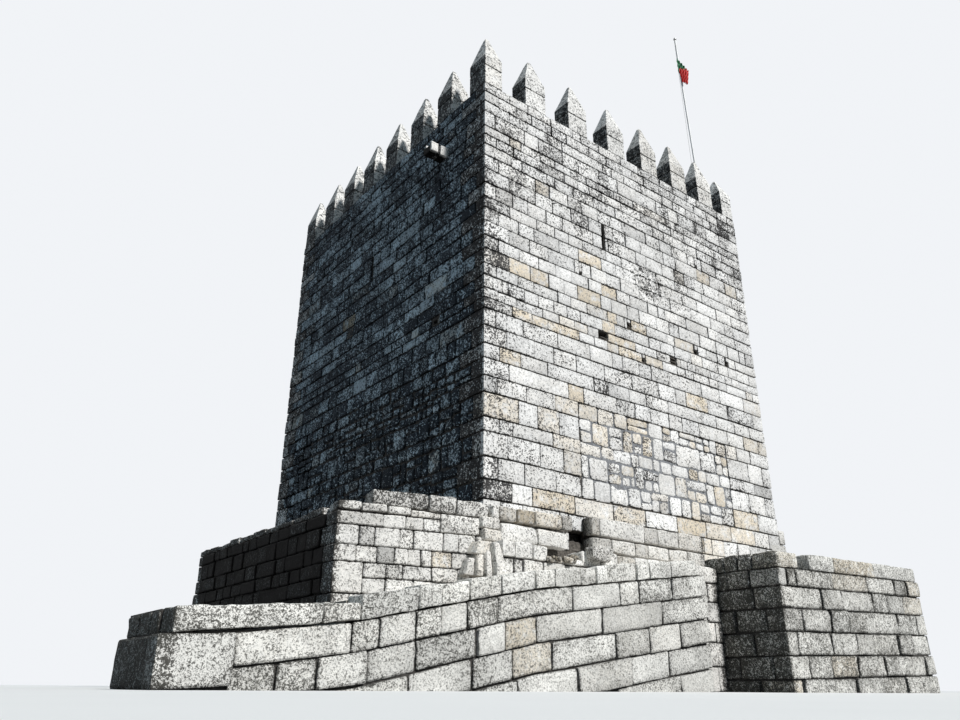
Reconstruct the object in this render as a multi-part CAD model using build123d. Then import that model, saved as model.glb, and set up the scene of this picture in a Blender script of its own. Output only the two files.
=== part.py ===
from build123d import *
import math
import os

# Castle keep in granite, with the masonry that its foot stands on. Millimetres, +Z up.
# Origin: centre of the square tower's plan, on the level plane where the lowest stone starts.
# -Y is the sunny front, -X the shaded side, +Y the hidden rear with the raised doorway.

# Tower plan and walls
keep_width = 10000.0
wall_thickness = 2000.0
ledge_width = 150.0

# Storeys, stacked from the lowest plane
ground_rise = 3300.0
cellar_height = 2750.0
door_storey_height = 3200.0
slit_storey_height = 3500.0

# Floors and roof deck
beam_width = 220.0
beam_depth = 280.0
beams_per_floor = 7
floor_thickness = 60.0
roof_beam_depth = 320.0
roof_slab_thickness = 140.0

# Battlements
parapet_height = 1050.0
parapet_thickness = 550.0
merlons_per_side = 8
merlon_width = 660.0
merlon_block_height = 570.0
cap_collar_height = 330.0
cap_pyramid_height = 870.0
cap_tip = 60.0
left_merlon_drift = (110.0, 110.0, 130.0, 100.0, 20.0, -20.0)

# Arrow slits, narrow outside and splayed inside
slit_width = 110.0
slit_height = 810.0
slit_sill_above_floor = 1170.0
slit_outer_depth = 160.0
slit_inner_width = 640.0
slit_inner_height = 1300.0
front_slit_from_corner = 3890.0
left_slit_from_corner = 5150.0

# Raised doorway in the rear wall
door_width = 960.0
door_straight_height = 1600.0
door_outer_depth = 520.0
door_reveal_step = 170.0
door_arch_ring = 330.0
door_sill_height = 220.0
door_sill_projection = 120.0

# Water spout of the roof terrace, on the shaded side
spout_from_corner = 1730.0
spout_width = 350.0
spout_height = 280.0
spout_projection = 490.0
spout_tail = 300.0
spout_channel_width = 140.0
spout_channel_depth = 80.0
gutter_length = 900.0

# Missing stone in the foot of the front wall
hole_from_corner = 2260.0
hole_width = 620.0
hole_height = 430.0
hole_depth = 400.0

# Footings
lower_footing_projection = 550.0
lower_footing_height = 2670.0
upper_footing_projection = 300.0
upper_footing_left_height = 590.0
upper_footing_right_height = 750.0
side_footing_projection = 250.0
side_footing_height = 4000.0

# Terrace beside the near corner
terrace_reach = 2920.0
terrace_run = 7300.0
terrace_height = 3000.0
terrace_wall_thickness = 600.0
terrace_front_ahead = 250.0
terrace_skew = 11.5
terrace_fill_drop = 60.0
top_stone_height = 330.0
top_stone_depth = 520.0
top_stone_lengths = (1050.0, 500.0, 640.0)
top_stone_gap = 30.0
top_stones_from_keep = 60.0

# Kerb wall on the slope in front
kerb_thickness = 500.0
kerb_left = 5970.0
kerb_right = 5200.0
kerb_step = 3100.0
kerb_bend = 340.0
kerb_left_top = 1020.0
kerb_step_low_top = 1250.0
kerb_step_high_top = 1360.0
kerb_bend_top = 2010.0
kerb_right_top = 2670.0
kerb_course = 350.0
kerb_return_length = 2100.0
kerb_end_setback = 115.0
kerb_backing_drop = 70.0

# Platform at the right of the front
platform_left = 6350.0
platform_right = 12700.0
platform_ahead = 2120.0
platform_wall_thickness = 620.0
platform_left_height = 2860.0
platform_right_height = 3030.0
platform_course = 370.0
platform_notch_from_left = 850.0
platform_notch_width = 420.0
platform_fill_drop = 60.0

# Flagpole
pole_diameter = 64.0
pole_length = 8350.0
pole_lean = 3.0
pole_from_side_parapet = 80.0
pole_from_front_parapet = 50.0
pole_base_length = 430.0
pole_base_width = 300.0
pole_base_height = 260.0
pole_socket_depth = 180.0
pole_fit = 0.3
finial_diameter = 110.0
halyard_diameter = 10.0
halyard_spread = 270.0
halyard_arm_reach = 30.0
halyard_arm_below_top = 20.0
eye_ring_radius = 35.0
eye_bar_radius = 7.0
flag_height = 1150.0
flag_width = 420.0
flag_thickness = 90.0
flag_below_top = 780.0

half = keep_width / 2
door_floor = ground_rise + cellar_height
slit_floor = door_floor + door_storey_height
walk_level = slit_floor + slit_storey_height
sill_level = walk_level + parapet_height
floor_build = beam_depth + floor_thickness
roof_build = roof_beam_depth + roof_slab_thickness

# Levels where the wall steps back to carry a floor, lowest first
ledges = (door_floor - floor_build, slit_floor - floor_build, walk_level - roof_build)


def block(x0, x1, y0, y1, z0, z1):
    """A dressed block between two corners."""
    size = Box(x1 - x0, y1 - y0, z1 - z0, align=(Align.MIN, Align.MIN, Align.MIN))
    return Pos(x0, y0, z0) * size


def side_prism(outline, y0, y1):
    """A prism along Y, from an outline in X and Z."""
    plane = Plane(origin=(0, y0, 0), x_dir=(1, 0, 0), z_dir=(0, -1, 0))
    return extrude(plane * make_face(Polyline(*outline, close=True)), amount=-(y1 - y0))


def plan_prism(outline, z0, z1):
    """A prism upwards, from an outline in X and Y."""
    return extrude(Pos(0, 0, z0) * make_face(Polyline(*outline, close=True)), amount=z1 - z0)


def wall_depth(level):
    """How thick the wall is just above a level."""
    steps = sum(1 for ledge in ledges if level >= ledge - 1e-6)
    return wall_thickness - steps * ledge_width


def full_wall():
    """One tower wall over the full width, facing -Y, stepped back inside at each floor."""
    inner = [(-half + wall_thickness, 0)]
    depth = wall_thickness
    for ledge in ledges:
        inner.append((-half + depth, ledge))
        depth -= ledge_width
        inner.append((-half + depth, ledge))
    inner.append((-half + depth, walk_level))
    outline = [(-half, 0), *inner, (-half, walk_level)]
    plane = Plane(origin=(-half, 0, 0), x_dir=(0, 1, 0), z_dir=(1, 0, 0))
    return extrude(plane * make_face(Polyline(*outline, close=True)), amount=keep_width)


def slit_cut(centre):
    """An arrow slit through a wall that faces -Y: a straight mouth, then a splayed room."""
    sill = slit_floor + slit_sill_above_floor
    mid = sill + slit_height / 2
    depth = wall_depth(mid)
    mouth = block(
        centre - slit_width / 2,
        centre + slit_width / 2,
        -half,
        -half + slit_outer_depth,
        sill,
        sill + slit_height,
    )
    narrow = Plane(origin=(centre, -half + slit_outer_depth, mid), x_dir=(1, 0, 0), z_dir=(0, 1, 0))
    wide = Plane(origin=(centre, -half + depth, mid), x_dir=(1, 0, 0), z_dir=(0, 1, 0))
    splay = loft(
        [
            narrow * Rectangle(slit_width, slit_height),
            wide * Rectangle(slit_inner_width, slit_inner_height),
        ]
    )
    return mouth + splay


def arch_face(width, straight, grow=0.0):
    """A round-headed opening in X and Z, from its floor, grown outwards by a margin."""
    radius = width / 2 + grow
    leg = Rectangle(2 * radius, straight, align=(Align.CENTER, Align.MIN))
    return leg + Pos(0, straight) * Circle(radius)


def arch_prism(width, straight, y0, y1, level, grow=0.0):
    """A round-headed solid along Y between two depths."""
    plane = Plane(origin=(0, y1, level), x_dir=(1, 0, 0), z_dir=(0, -1, 0))
    return extrude(plane * arch_face(width, straight, grow), amount=y1 - y0)


def door_passage():
    """The doorway through the rear wall: a narrow mouth outside and a wider reveal inside."""
    inner_face = half - wall_depth(door_floor)
    rebate = half - door_outer_depth
    mouth = arch_prism(door_width, door_straight_height, rebate, half, door_floor)
    reveal = arch_prism(door_width, door_straight_height, inner_face, rebate, door_floor, door_reveal_step)
    return mouth + reveal


def door_surround():
    """Jambs and arch ring of larger stones, as deep as the narrow mouth."""
    rebate = half - door_outer_depth
    outer = arch_prism(door_width, door_straight_height, rebate, half, door_floor, door_arch_ring)
    return outer - arch_prism(door_width, door_straight_height, rebate, half, door_floor)


def spout_box(x0, x1):
    """The spout stone's section between two distances from the tower's axis."""
    centre = -half + spout_from_corner
    return block(
        x0, x1, centre - spout_width / 2, centre + spout_width / 2, walk_level - spout_height, walk_level
    )


def gutter_cut(x0, x1):
    """The channel that takes rain from the terrace under the parapet and out of the spout."""
    centre = -half + spout_from_corner
    return block(
        x0,
        x1,
        centre - spout_channel_width / 2,
        centre + spout_channel_width / 2,
        walk_level - spout_channel_depth,
        walk_level,
    )


def tower_walls():
    """Four hollow-tower walls that meet at plain butt joints, the rear one split at its doorway."""
    front_full = full_wall()
    rear_full = Rot(0, 0, 180) * front_full
    left_full = Rot(0, 0, -90) * front_full
    right_full = Rot(0, 0, 90) * front_full

    seat = spout_box(-half, -half + spout_tail)
    gutter = gutter_cut(-half, -half + gutter_length)
    front = front_full - slit_cut(-half + front_slit_from_corner) - missing_stone() - seat - gutter
    left_slit = Rot(0, 0, -90) * slit_cut(half - left_slit_from_corner)
    left = left_full - front_full - rear_full - left_slit
    left = left - seat - gutter
    right = right_full - front_full - rear_full

    surround = door_surround()
    rear = rear_full - door_passage() - surround
    over_door = door_floor + door_straight_height + door_width / 2 + door_arch_ring
    under = block(-half, half, 0, half, 0, door_floor)
    over = block(-half, half, 0, half, over_door, walk_level)
    beside = block(-half, half, 0, half, door_floor, over_door)
    sill = door_sill()
    return {
        "front_wall": front,
        "left_wall": left,
        "right_wall": right,
        "rear_wall_under_door": (rear & under) - sill,
        "rear_wall_over_door": rear & over,
        "rear_wall_beside_door": rear & beside,
        "doorway_arch": surround,
        "door_sill": sill,
    }


def missing_stone():
    """The pocket that a lost stone leaves in the front wall's foot."""
    left = -half + hole_from_corner
    return block(
        left,
        left + hole_width,
        -half,
        -half + hole_depth,
        lower_footing_height,
        lower_footing_height + hole_height,
    )


def door_sill():
    """The threshold stone, which stands a little proud of the wall."""
    reach = door_width / 2 + door_arch_ring
    rebate = half - door_outer_depth
    return block(-reach, reach, rebate, half + door_sill_projection, door_floor - door_sill_height, door_floor)


def floor_beams(level, depth, ledge):
    """Beams that span from the front ledge to the rear one."""
    span = half - wall_depth(ledge)
    pitch = (2 * span - beam_width) / (beams_per_floor - 1)
    bottom = level - depth
    beams = []
    for index in range(beams_per_floor):
        x0 = -span + index * pitch
        beams.append(block(x0, x0 + beam_width, -span, span, bottom, bottom + depth))
    return beams


def floors():
    """Two timber floors and the stone roof deck, each seated on the ledges below it."""
    pieces = {}
    door_span = half - wall_depth(ledges[0])
    slit_span = half - wall_depth(ledges[1])
    roof_span = half - wall_depth(ledges[2])
    door_top = door_floor - floor_thickness
    slit_top = slit_floor - floor_thickness
    roof_top = walk_level - roof_slab_thickness
    door_beams = floor_beams(door_top, beam_depth, ledges[0])
    slit_beams = floor_beams(slit_top, beam_depth, ledges[1])
    pieces["floor_beams"] = door_beams + slit_beams
    pieces["door_floor_boards"] = block(-door_span, door_span, -door_span, door_span, door_top, door_floor)
    pieces["slit_floor_boards"] = block(-slit_span, slit_span, -slit_span, slit_span, slit_top, slit_floor)
    pieces["roof_beams"] = floor_beams(roof_top, roof_beam_depth, ledges[2])
    deck = block(-roof_span, roof_span, -roof_span, roof_span, roof_top, walk_level)
    pieces["roof_slab"] = deck
    return pieces


def foundation():
    """Solid masonry under the ground floor, inside the walls."""
    inside = half - wall_thickness
    return block(-inside, inside, -inside, inside, 0, ground_rise)


def parapets():
    """The wall head that the merlons stand on, front and rear over the full width."""
    inner = half - parapet_thickness
    front = block(-half, half, -half, -inner, walk_level, sill_level)
    left = block(-half, -inner, -inner, inner, walk_level, sill_level)
    return {
        "front_parapet": front,
        "rear_parapet": Rot(0, 0, 180) * front,
        "left_parapet": left,
        "right_parapet": Rot(0, 0, 180) * left,
    }


def merlon_block():
    """A merlon's lower stone, on the tower's axis."""
    plan = Rectangle(merlon_width, parapet_thickness)
    return Pos(0, 0, sill_level) * extrude(plan, amount=merlon_block_height)


def merlon_cap():
    """A merlon's cap stone: an upright collar under a four-sided point."""
    plan = Rectangle(merlon_width, parapet_thickness)
    collar = extrude(plan, amount=cap_collar_height)
    tip = Pos(0, 0, cap_collar_height + cap_pyramid_height) * Rectangle(cap_tip, cap_tip)
    point = loft([Pos(0, 0, cap_collar_height) * plan, tip])
    return Pos(0, 0, sill_level + merlon_block_height) * (collar + point)


def battlements():
    """Merlons along each side, and four at the corners that face the left and right sides."""
    row = -half + parapet_thickness / 2
    first = -half + merlon_width / 2
    pitch = (keep_width - merlon_width) / (merlons_per_side - 1)
    between = [first + index * pitch for index in range(1, merlons_per_side - 1)]
    pieces = {}
    caps = []
    for name, turn in (("front", 0), ("right", 90), ("rear", 180), ("left", -90)):
        drift = left_merlon_drift if name == "left" else [0.0] * len(between)
        places = [x - shift for x, shift in zip(between, reversed(drift))]
        pieces[name + "_merlons"] = [Rot(0, 0, turn) * Pos(x, row) * merlon_block() for x in places]
        caps += [Rot(0, 0, turn) * Pos(x, row) * merlon_cap() for x in places]
    corners = [(row, first), (-row, first), (-row, -first), (row, -first)]
    turned = [Pos(x, y) * Rot(0, 0, 90) for x, y in corners]
    pieces["corner_merlons"] = [place * merlon_block() for place in turned]
    pieces["merlon_caps"] = caps + [place * merlon_cap() for place in turned]
    return pieces


def water_spout():
    """The spout: a stone built into the wall, and the broken length in front of it."""
    channel = gutter_cut(-half - spout_projection, -half + spout_tail)
    return spout_box(-half - spout_projection, -half + spout_tail) - channel


def footings():
    """Offsets at the foot of the tower: two ruined courses in front, one at the side and rear."""
    front = -half
    left_end = -half
    right_end = -half + platform_left
    upper = lower_footing_height
    gap_left = -half + hole_from_corner
    gap_right = gap_left + hole_width
    lower = block(left_end, right_end, front - lower_footing_projection, front, 0, upper)
    upper_left = block(
        left_end, gap_left, front - upper_footing_projection, front, upper, upper + upper_footing_left_height
    )
    upper_right = block(
        gap_right, right_end, front - upper_footing_projection, front, upper, upper + upper_footing_right_height
    )
    outside = half + side_footing_projection
    side = block(half, outside, front, outside, 0, side_footing_height)
    side += block(-half, half, half, outside, 0, side_footing_height)
    return {
        "front_footing_lower": lower,
        "front_footing_upper": [upper_left, upper_right],
        "side_footing": side,
    }


def terrace_front_y(x):
    """Where the terrace's outer front face lies at a distance along X: it runs askew of the tower."""
    slope = math.tan(math.radians(terrace_skew))
    return -half - terrace_front_ahead + (-half - x) * slope


def terrace_corner_y():
    """Where the terrace's outer corner lies along Y."""
    return terrace_front_y(-half - terrace_reach)


def terrace():
    """The walled terrace at the near corner."""
    keep_side = -half
    outer = keep_side - terrace_reach
    inner = outer + terrace_wall_thickness
    back = -half + terrace_run
    fill_top = terrace_height - terrace_fill_drop

    def front_band(x0, x1, depth, z0, z1):
        y0 = terrace_front_y(x0)
        y1 = terrace_front_y(x1)
        return plan_prism([(x0, y0), (x1, y1), (x1, y1 + depth), (x0, y0 + depth)], z0, z1)

    thick = terrace_wall_thickness
    front = front_band(outer, keep_side, thick, 0, terrace_height)
    outer_start = terrace_front_y(outer) + thick
    inner_start = terrace_front_y(inner) + thick
    side_outline = [(outer, outer_start), (inner, inner_start), (inner, back), (outer, back)]
    side = plan_prism(side_outline, 0, terrace_height)
    side += block(inner, keep_side, back - thick, back, 0, terrace_height)
    keep_start = terrace_front_y(keep_side) + thick
    fill_outline = [
        (inner, inner_start),
        (keep_side, keep_start),
        (keep_side, back - thick),
        (inner, back - thick),
    ]
    fill = plan_prism(fill_outline, 0, fill_top)
    stones = []
    x1 = keep_side - top_stones_from_keep
    for length in reversed(top_stone_lengths):
        stones.append(
            front_band(x1 - length, x1, top_stone_depth, terrace_height, terrace_height + top_stone_height)
        )
        x1 -= length + top_stone_gap
    return {
        "terrace_front_wall": front,
        "terrace_side_wall": side,
        "terrace_fill": fill,
        "terrace_top_stones": stones,
    }


def kerb():
    """Two courses of long stones that climb the slope in front of the terrace and the tower."""
    inner = -half - lower_footing_projection
    outer = inner - kerb_thickness
    left = -half - kerb_left
    step = -half - kerb_step
    bend = -half + kerb_bend
    right = -half + kerb_right
    joint = [
        (left, kerb_left_top - kerb_course),
        (step, kerb_step_low_top - kerb_course),
        (bend, kerb_bend_top - kerb_course),
        (right, kerb_right_top - kerb_course),
    ]
    top = [
        (right, kerb_right_top),
        (bend, kerb_bend_top),
        (step, kerb_step_high_top),
        (step, kerb_step_low_top),
        (left, kerb_left_top),
    ]
    lower = side_prism([(left, 0), (right, 0), *reversed(joint)], outer, inner)
    upper_left = left + kerb_end_setback
    upper = side_prism([*joint, *top], outer, inner)
    upper -= block(left, upper_left, outer, inner, 0, kerb_left_top)
    end = left + kerb_thickness
    back = outer + kerb_return_length
    low = kerb_left_top - kerb_course
    lower_return = block(left, end, inner, back, 0, low)
    upper_return = block(upper_left, end, inner, back - kerb_end_setback, low, kerb_left_top)
    backing_outline = [
        (step, 0),
        (-half, 0),
        (-half, kerb_backing_top(-half)),
        (step, kerb_backing_top(step)),
    ]
    backing = side_prism(backing_outline, inner, terrace_corner_y()) - terrace_shadow()
    return {
        "kerb_lower_course": lower,
        "kerb_upper_course": upper,
        "kerb_return": lower_return + upper_return,
        "kerb_backing": backing,
    }


def kerb_backing_top(x):
    """Height of the rubble behind the kerb, a little under the kerb's sloping top."""
    step = -half - kerb_step
    bend = -half + kerb_bend
    rise = (kerb_bend_top - kerb_step_high_top) / (bend - step)
    return kerb_step_high_top + (x - step) * rise - kerb_backing_drop


def terrace_shadow():
    """Everything on or behind the line of the terrace's front, outside the tower."""
    far = -half - kerb_left
    corner_y = terrace_corner_y()
    outline = [
        (-half - terrace_reach, corner_y),
        (-half, terrace_front_y(-half)),
        (-half, half),
        (far, half),
        (far, corner_y),
    ]
    return plan_prism(outline, 0, sill_level)


def platform():
    """The low platform at the front's right, one course of which has lost a stone."""
    left = -half + platform_left
    right = -half + platform_right
    outer = -half - platform_ahead
    inner = outer + platform_wall_thickness
    end_inner = left + platform_wall_thickness
    joint_left = platform_left_height - platform_course
    joint_right = platform_right_height - platform_course
    lower = side_prism([(left, 0), (right, 0), (right, joint_right), (left, joint_left)], outer, inner)
    upper = side_prism(
        [
            (left, joint_left),
            (right, joint_right),
            (right, platform_right_height),
            (left, platform_left_height),
        ],
        outer,
        inner,
    )
    notch_left = left + platform_notch_from_left
    notch = block(
        notch_left,
        notch_left + platform_notch_width,
        outer,
        inner,
        0,
        sill_level,
    )
    lower += block(left, end_inner, inner, -half, 0, joint_left)
    upper += block(left, end_inner, inner, -half, joint_left, platform_left_height)
    fill = block(end_inner, half, inner, -half, 0, platform_left_height - platform_fill_drop)
    return {
        "platform_lower_course": lower,
        "platform_upper_course": upper - notch,
        "platform_fill": fill,
    }


def flagpole():
    """A steel pole in a socket block on the wall walk, with its finial, halyard and flag."""
    corner = half - parapet_thickness
    x = corner - pole_from_side_parapet
    y = -corner + pole_from_front_parapet
    base_top = walk_level + pole_base_height
    foot = base_top - pole_socket_depth
    leaning = Pos(x, y, foot) * Rot(0, -pole_lean, 0)
    radius = pole_diameter / 2
    pole = leaning * Cylinder(radius, pole_length, align=(Align.CENTER, Align.CENTER, Align.MIN))
    socket_cut = leaning * Cylinder(
        radius + pole_fit, 2 * pole_socket_depth, align=(Align.CENTER, Align.CENTER, Align.MIN)
    )
    base = block(
        corner - pole_base_length, corner, -corner, -corner + pole_base_width, walk_level, base_top
    )
    ball = leaning * Pos(0, 0, pole_length + finial_diameter / 2 - pole_fit) * Sphere(finial_diameter / 2)
    ball -= leaning * Cylinder(finial_diameter, pole_length, align=(Align.CENTER, Align.CENTER, Align.MIN))
    arm_left = -radius - halyard_arm_reach
    arm_bottom = pole_length - halyard_arm_below_top
    arm = leaning * block(
        arm_left, -radius, -halyard_diameter, halyard_diameter, arm_bottom, arm_bottom + halyard_diameter
    )
    rope_end = leaning * Pos(arm_left + halyard_diameter, 0, arm_bottom - 2 * pole_fit)
    return {
        "flagpole": pole,
        "pole_base": base - socket_cut,
        "pole_head": [ball, arm],
        **halyard(x, y, base_top, rope_end.position),
        "flag": flag(leaning, radius),
    }


def halyard(x, y, base_top, end):
    """The taut line beside the pole, and the eye that it is tied to."""
    eye_x = x - halyard_spread
    eye_centre = Pos(eye_x, y, base_top + eye_ring_radius + eye_bar_radius + pole_fit)
    eye = eye_centre * Rot(90, 0, 0) * Torus(eye_ring_radius, eye_bar_radius)
    start = Vector(eye_x, y, base_top + 2 * (eye_ring_radius + eye_bar_radius + pole_fit))
    along = Plane(origin=start, z_dir=(end - start).normalized())
    rope = Solid.make_cylinder(halyard_diameter / 2, (end - start).length, along)
    return {"halyard": rope, "halyard_eye": eye}


def flag(leaning, radius):
    """The limp flag as one closed solid that hangs from the side of the pole."""
    bottom = pole_length - flag_below_top - flag_height
    hoist = leaning * Pos(radius + pole_fit, 0, bottom)
    gathered = Pos(flag_width / 4, 0, 0) * Rectangle(flag_width / 2, flag_thickness / 2)
    belly = Pos(flag_width / 2, 0, flag_height / 2) * Rectangle(flag_width, flag_thickness)
    return hoist * loft([gathered, belly, Pos(0, 0, flag_height) * gathered], ruled=True)


def build():
    """Every node of the keep by name."""
    return {
        **tower_walls(),
        "foundation": foundation(),
        **floors(),
        **parapets(),
        **battlements(),
        "water_spout": water_spout(),
        **footings(),
        **terrace(),
        **kerb(),
        **platform(),
        **flagpole(),
    }


os.makedirs("parts", exist_ok=True)
for name, piece in build().items():
    solids = piece if isinstance(piece, list) else [piece]
    whole = [solid for shape in solids for solid in shape.solids()]
    shape = whole[0] if len(whole) == 1 else Compound(children=whole)
    export_step(shape, os.path.join("parts", name + ".step"))
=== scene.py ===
import math
import random

import bpy
import numpy as np
from mathutils import Matrix, Vector


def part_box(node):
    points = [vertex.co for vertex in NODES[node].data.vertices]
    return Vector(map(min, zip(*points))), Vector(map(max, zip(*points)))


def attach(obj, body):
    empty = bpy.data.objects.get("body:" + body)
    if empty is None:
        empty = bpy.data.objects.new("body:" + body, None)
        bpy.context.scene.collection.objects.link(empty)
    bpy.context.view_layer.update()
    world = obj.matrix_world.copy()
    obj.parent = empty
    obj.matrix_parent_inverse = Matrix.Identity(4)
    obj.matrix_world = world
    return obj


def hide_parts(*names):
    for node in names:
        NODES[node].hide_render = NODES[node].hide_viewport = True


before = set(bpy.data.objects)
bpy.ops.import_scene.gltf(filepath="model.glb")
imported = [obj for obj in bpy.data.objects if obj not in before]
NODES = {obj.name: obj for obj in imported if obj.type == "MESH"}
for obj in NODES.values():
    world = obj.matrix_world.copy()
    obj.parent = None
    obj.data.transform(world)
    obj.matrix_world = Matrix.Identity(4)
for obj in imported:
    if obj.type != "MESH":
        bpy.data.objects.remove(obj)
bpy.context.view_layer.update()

# Sizes of the keep in metres, as in the solids
HALF = 5.0
SILL = 13.80
WALK = 12.75
MERLON_WIDTH = 0.66
MERLON_DEPTH = 0.55
MERLON_BLOCK = 0.57
COLLAR = 0.33
POINT = 0.87
MERLONS = 8
DOOR_FLOOR = 6.05
DOOR_WIDTH = 0.96
DOOR_STRAIGHT = 1.60
DOOR_RING = 0.33
DOOR_DEPTH = 0.52
# How far the skin behind the wall stones lies in, and the wall itself where a pocket may go deeper
CORE_INSET = 0.048
POCKET = 0.30
# The round patch of the front whose stones have weathered away: its centre and its reach each way
PATCH_AT = (5.50, 10.05)
PATCH_REACH = (0.62, 0.50)


# Noise

# Odd factors that scatter the bits of a cell's three numbers and of the seed
SCATTER = (374761393, 668265263, 1440662683, 974634777)
LAST_SCATTER = 1274126177
WORD = 0xFFFFFFFF


def lattice(cell, seed):
    """A fixed pseudo-random value from -1 to 1 for each whole-number cell."""
    h = cell[:, 0] * SCATTER[0] + cell[:, 1] * SCATTER[1] + cell[:, 2] * SCATTER[2] + seed * SCATTER[3]
    h = h & WORD
    h = ((h ^ (h >> 13)) * LAST_SCATTER) & WORD
    h = h ^ (h >> 16)
    return (h & 0xFFFF) / 32767.5 - 1.0


def noise(points, scale, seed=0):
    """Smooth noise from -1 to 1 at each point, with features about one scale wide."""
    p = np.asarray(points, float) / scale
    base = np.floor(p).astype(np.int64)
    f = p - base
    f = f * f * (3 - 2 * f)
    total = np.zeros(len(p))
    for dx in (0, 1):
        for dy in (0, 1):
            for dz in (0, 1):
                weight = (f[:, 0] if dx else 1 - f[:, 0]) * (f[:, 1] if dy else 1 - f[:, 1])
                weight = weight * (f[:, 2] if dz else 1 - f[:, 2])
                total += weight * lattice(base + np.array([dx, dy, dz]), seed)
    return total


def relief(points, wide, fine, seed):
    """The unevenness of a broken stone face: wide swells with finer ones on them."""
    return noise(points, wide, seed[0]) + 0.6 * noise(points, fine, seed[1])


def ramp(x, low, high):
    """0 below low, 1 above high, smooth between. It falls where high is the smaller."""
    t = np.clip((np.asarray(x, float) - low) / (high - low), 0, 1)
    return t * t * (3 - 2 * t)


def bump(x, centre, width):
    """1 at the centre, falling to nothing about twice the width away."""
    return np.exp(-(((np.asarray(x, float) - centre) / width) ** 2))


def worn_patch(u, w):
    """1 inside the weathered patch of the front, 0 outside."""
    away = np.hypot((np.asarray(u, float) - PATCH_AT[0]) / PATCH_REACH[0],
                    (np.asarray(w, float) - PATCH_AT[1]) / PATCH_REACH[1])
    return ramp(away, 1.25, 0.70)


# Lichen and damp, from 0 to 1 at each point

def front_growth(p):
    """The sunny wall."""
    a, z = p[:, 0] + HALF, p[:, 2]
    # Upwards, and most between the slit and the patch
    f = 0.31 + 0.11 * ramp(z, 10.0, 12.4) + 0.20 * bump(a, 4.45, 0.5) * ramp(z, 9.9, 10.8)
    # Towards the right edge and the right top
    f += 0.12 * ramp(a, 8.4, 9.9) * ramp(z, 7.6, 9.4) + 0.08 * ramp(a, 6.6, 8.6) * ramp(z, 10.8, 12.4)
    # Along the near corner, and at its foot
    f += 0.22 * bump(a, 0.15, 0.5) * ramp(z, 2.8, 3.6) * ramp(z, 11.2, 10.4)
    f += 0.08 * ramp(a, 3.0, 1.5) * ramp(z, 6.8, 5.8)
    # Streaks that run down from the head
    f += 0.24 * noise(p * np.array([1.0, 1.0, 0.14]), 0.30, 9) * ramp(z, 9.4, 10.8)
    # Less in the middle and just over the footings
    f -= 0.10 * bump(z, 8.2, 1.7) * ramp(a, 0.6, 1.6)
    f -= 0.08 * bump(z, 3.9, 0.7)
    # The weathered patch, and two stains between it and the slit
    f += 0.30 * worn_patch(a, z) + 0.26 * bump(a, 4.25, 0.35) * bump(z, 10.75, 0.25)
    f += 0.22 * bump(a, 4.75, 0.45) * bump(z, 10.3, 0.22)
    return f


def wall_growth(p):
    """The tower: little on the front, most on the shaded wall, where it also paints the wall's shade, some on
    the hidden sides.
    """
    x, y, z = p[:, 0], p[:, 1], p[:, 2]
    corner_side = (x < -HALF + 0.04) & (y > -HALF + 0.03)
    front = (y < -HALF + 0.3) & (z > 2.6) & ~corner_side
    left = (x < -HALF + 0.3) & ~front
    b = y + HALF
    # The shaded wall: lichen, set high so that it also paints the wall's shade
    shaded = 0.79 + 0.07 * ramp(z, 7.4, 5.6) + 0.04 * ramp(z, 11, 13) + 0.14 * ramp(b, 0.9, 0.4)
    # The stain that runs down under the spout
    shaded += 0.30 * bump(b, 1.73, 0.30) * ramp(z, 10.6, 11.8) * ramp(z, 12.8, 12.5)
    hidden = 0.52 + 0.10 * ramp(z, 9.5, 12.5) + 0.12 * ramp(z, 5.0, 3.0)
    value = np.where(front, front_growth(p), np.where(left, shaded, hidden))
    value = np.where(z > SILL, 0.42, value)
    return value + 0.20 * (noise(p, 1.9, 3) * 0.5 + noise(p, 0.8, 4) * 0.35)


def foot_growth(p):
    """The masonry at the foot: most on the faces that see no sun, where it paints their shade, and on the
    platform.
    """
    x, y = p[:, 0], p[:, 1]
    value = np.full(len(p), 0.31)
    kerb_front = (y < -5.85) & (x < 0.6)
    value = np.where(kerb_front, 0.34 + 0.24 * ramp(x, -6.5, -9.0), value)
    platform_front = (y < -6.9) & (x > 1.0)
    value = np.where(platform_front, 0.52, value)
    # Faces turned from the sun: near full cover, which paints their shade
    kerb_end = x < -10.82
    terrace_side = (x < -7.85) & (y > -5.3)
    platform_side = (x > 1.2) & (x < 1.42) & (y < -5.02)
    value = np.where(kerb_end | terrace_side | platform_side, 0.97, value)
    side_footing_faces = (y > 5.0) | (x > 5.1) & (y > -5.1)
    value = np.where(side_footing_faces, 0.6, value)
    return value + 0.15 * (noise(p, 1.3, 5) * 0.5 + noise(p, 0.5, 6) * 0.4)


# Meshes

def spans(marks):
    """The stretches between neighbouring marks."""
    return list(zip(marks[:-1], marks[1:]))


def add_object(name, data):
    """An object of a mesh, a light or a camera in the scene."""
    made = bpy.data.objects.new(name, data)
    bpy.context.scene.collection.objects.link(made)
    return made


def add_piece(name, mesh, material, replaces=()):
    """Puts a mesh into the scene as a piece, in place of the nodes that it replaces."""
    mesh.materials.clear()
    mesh.materials.append(material)
    piece = add_object(name, mesh)
    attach(piece, "root")
    if replaces:
        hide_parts(*replaces)
    return piece


def marked_mesh(name, points, quads, marks):
    """A mesh with four values at each point, which its material reads by the name stone."""
    mesh = bpy.data.meshes.new(name)
    mesh.from_pydata(points.tolist(), [], quads.tolist())
    layer = mesh.attributes.new("stone", "FLOAT_COLOR", "POINT")
    layer.data.foreach_set("color", marks.ravel())
    mesh.update()
    mesh.shade_smooth()
    return mesh


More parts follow.
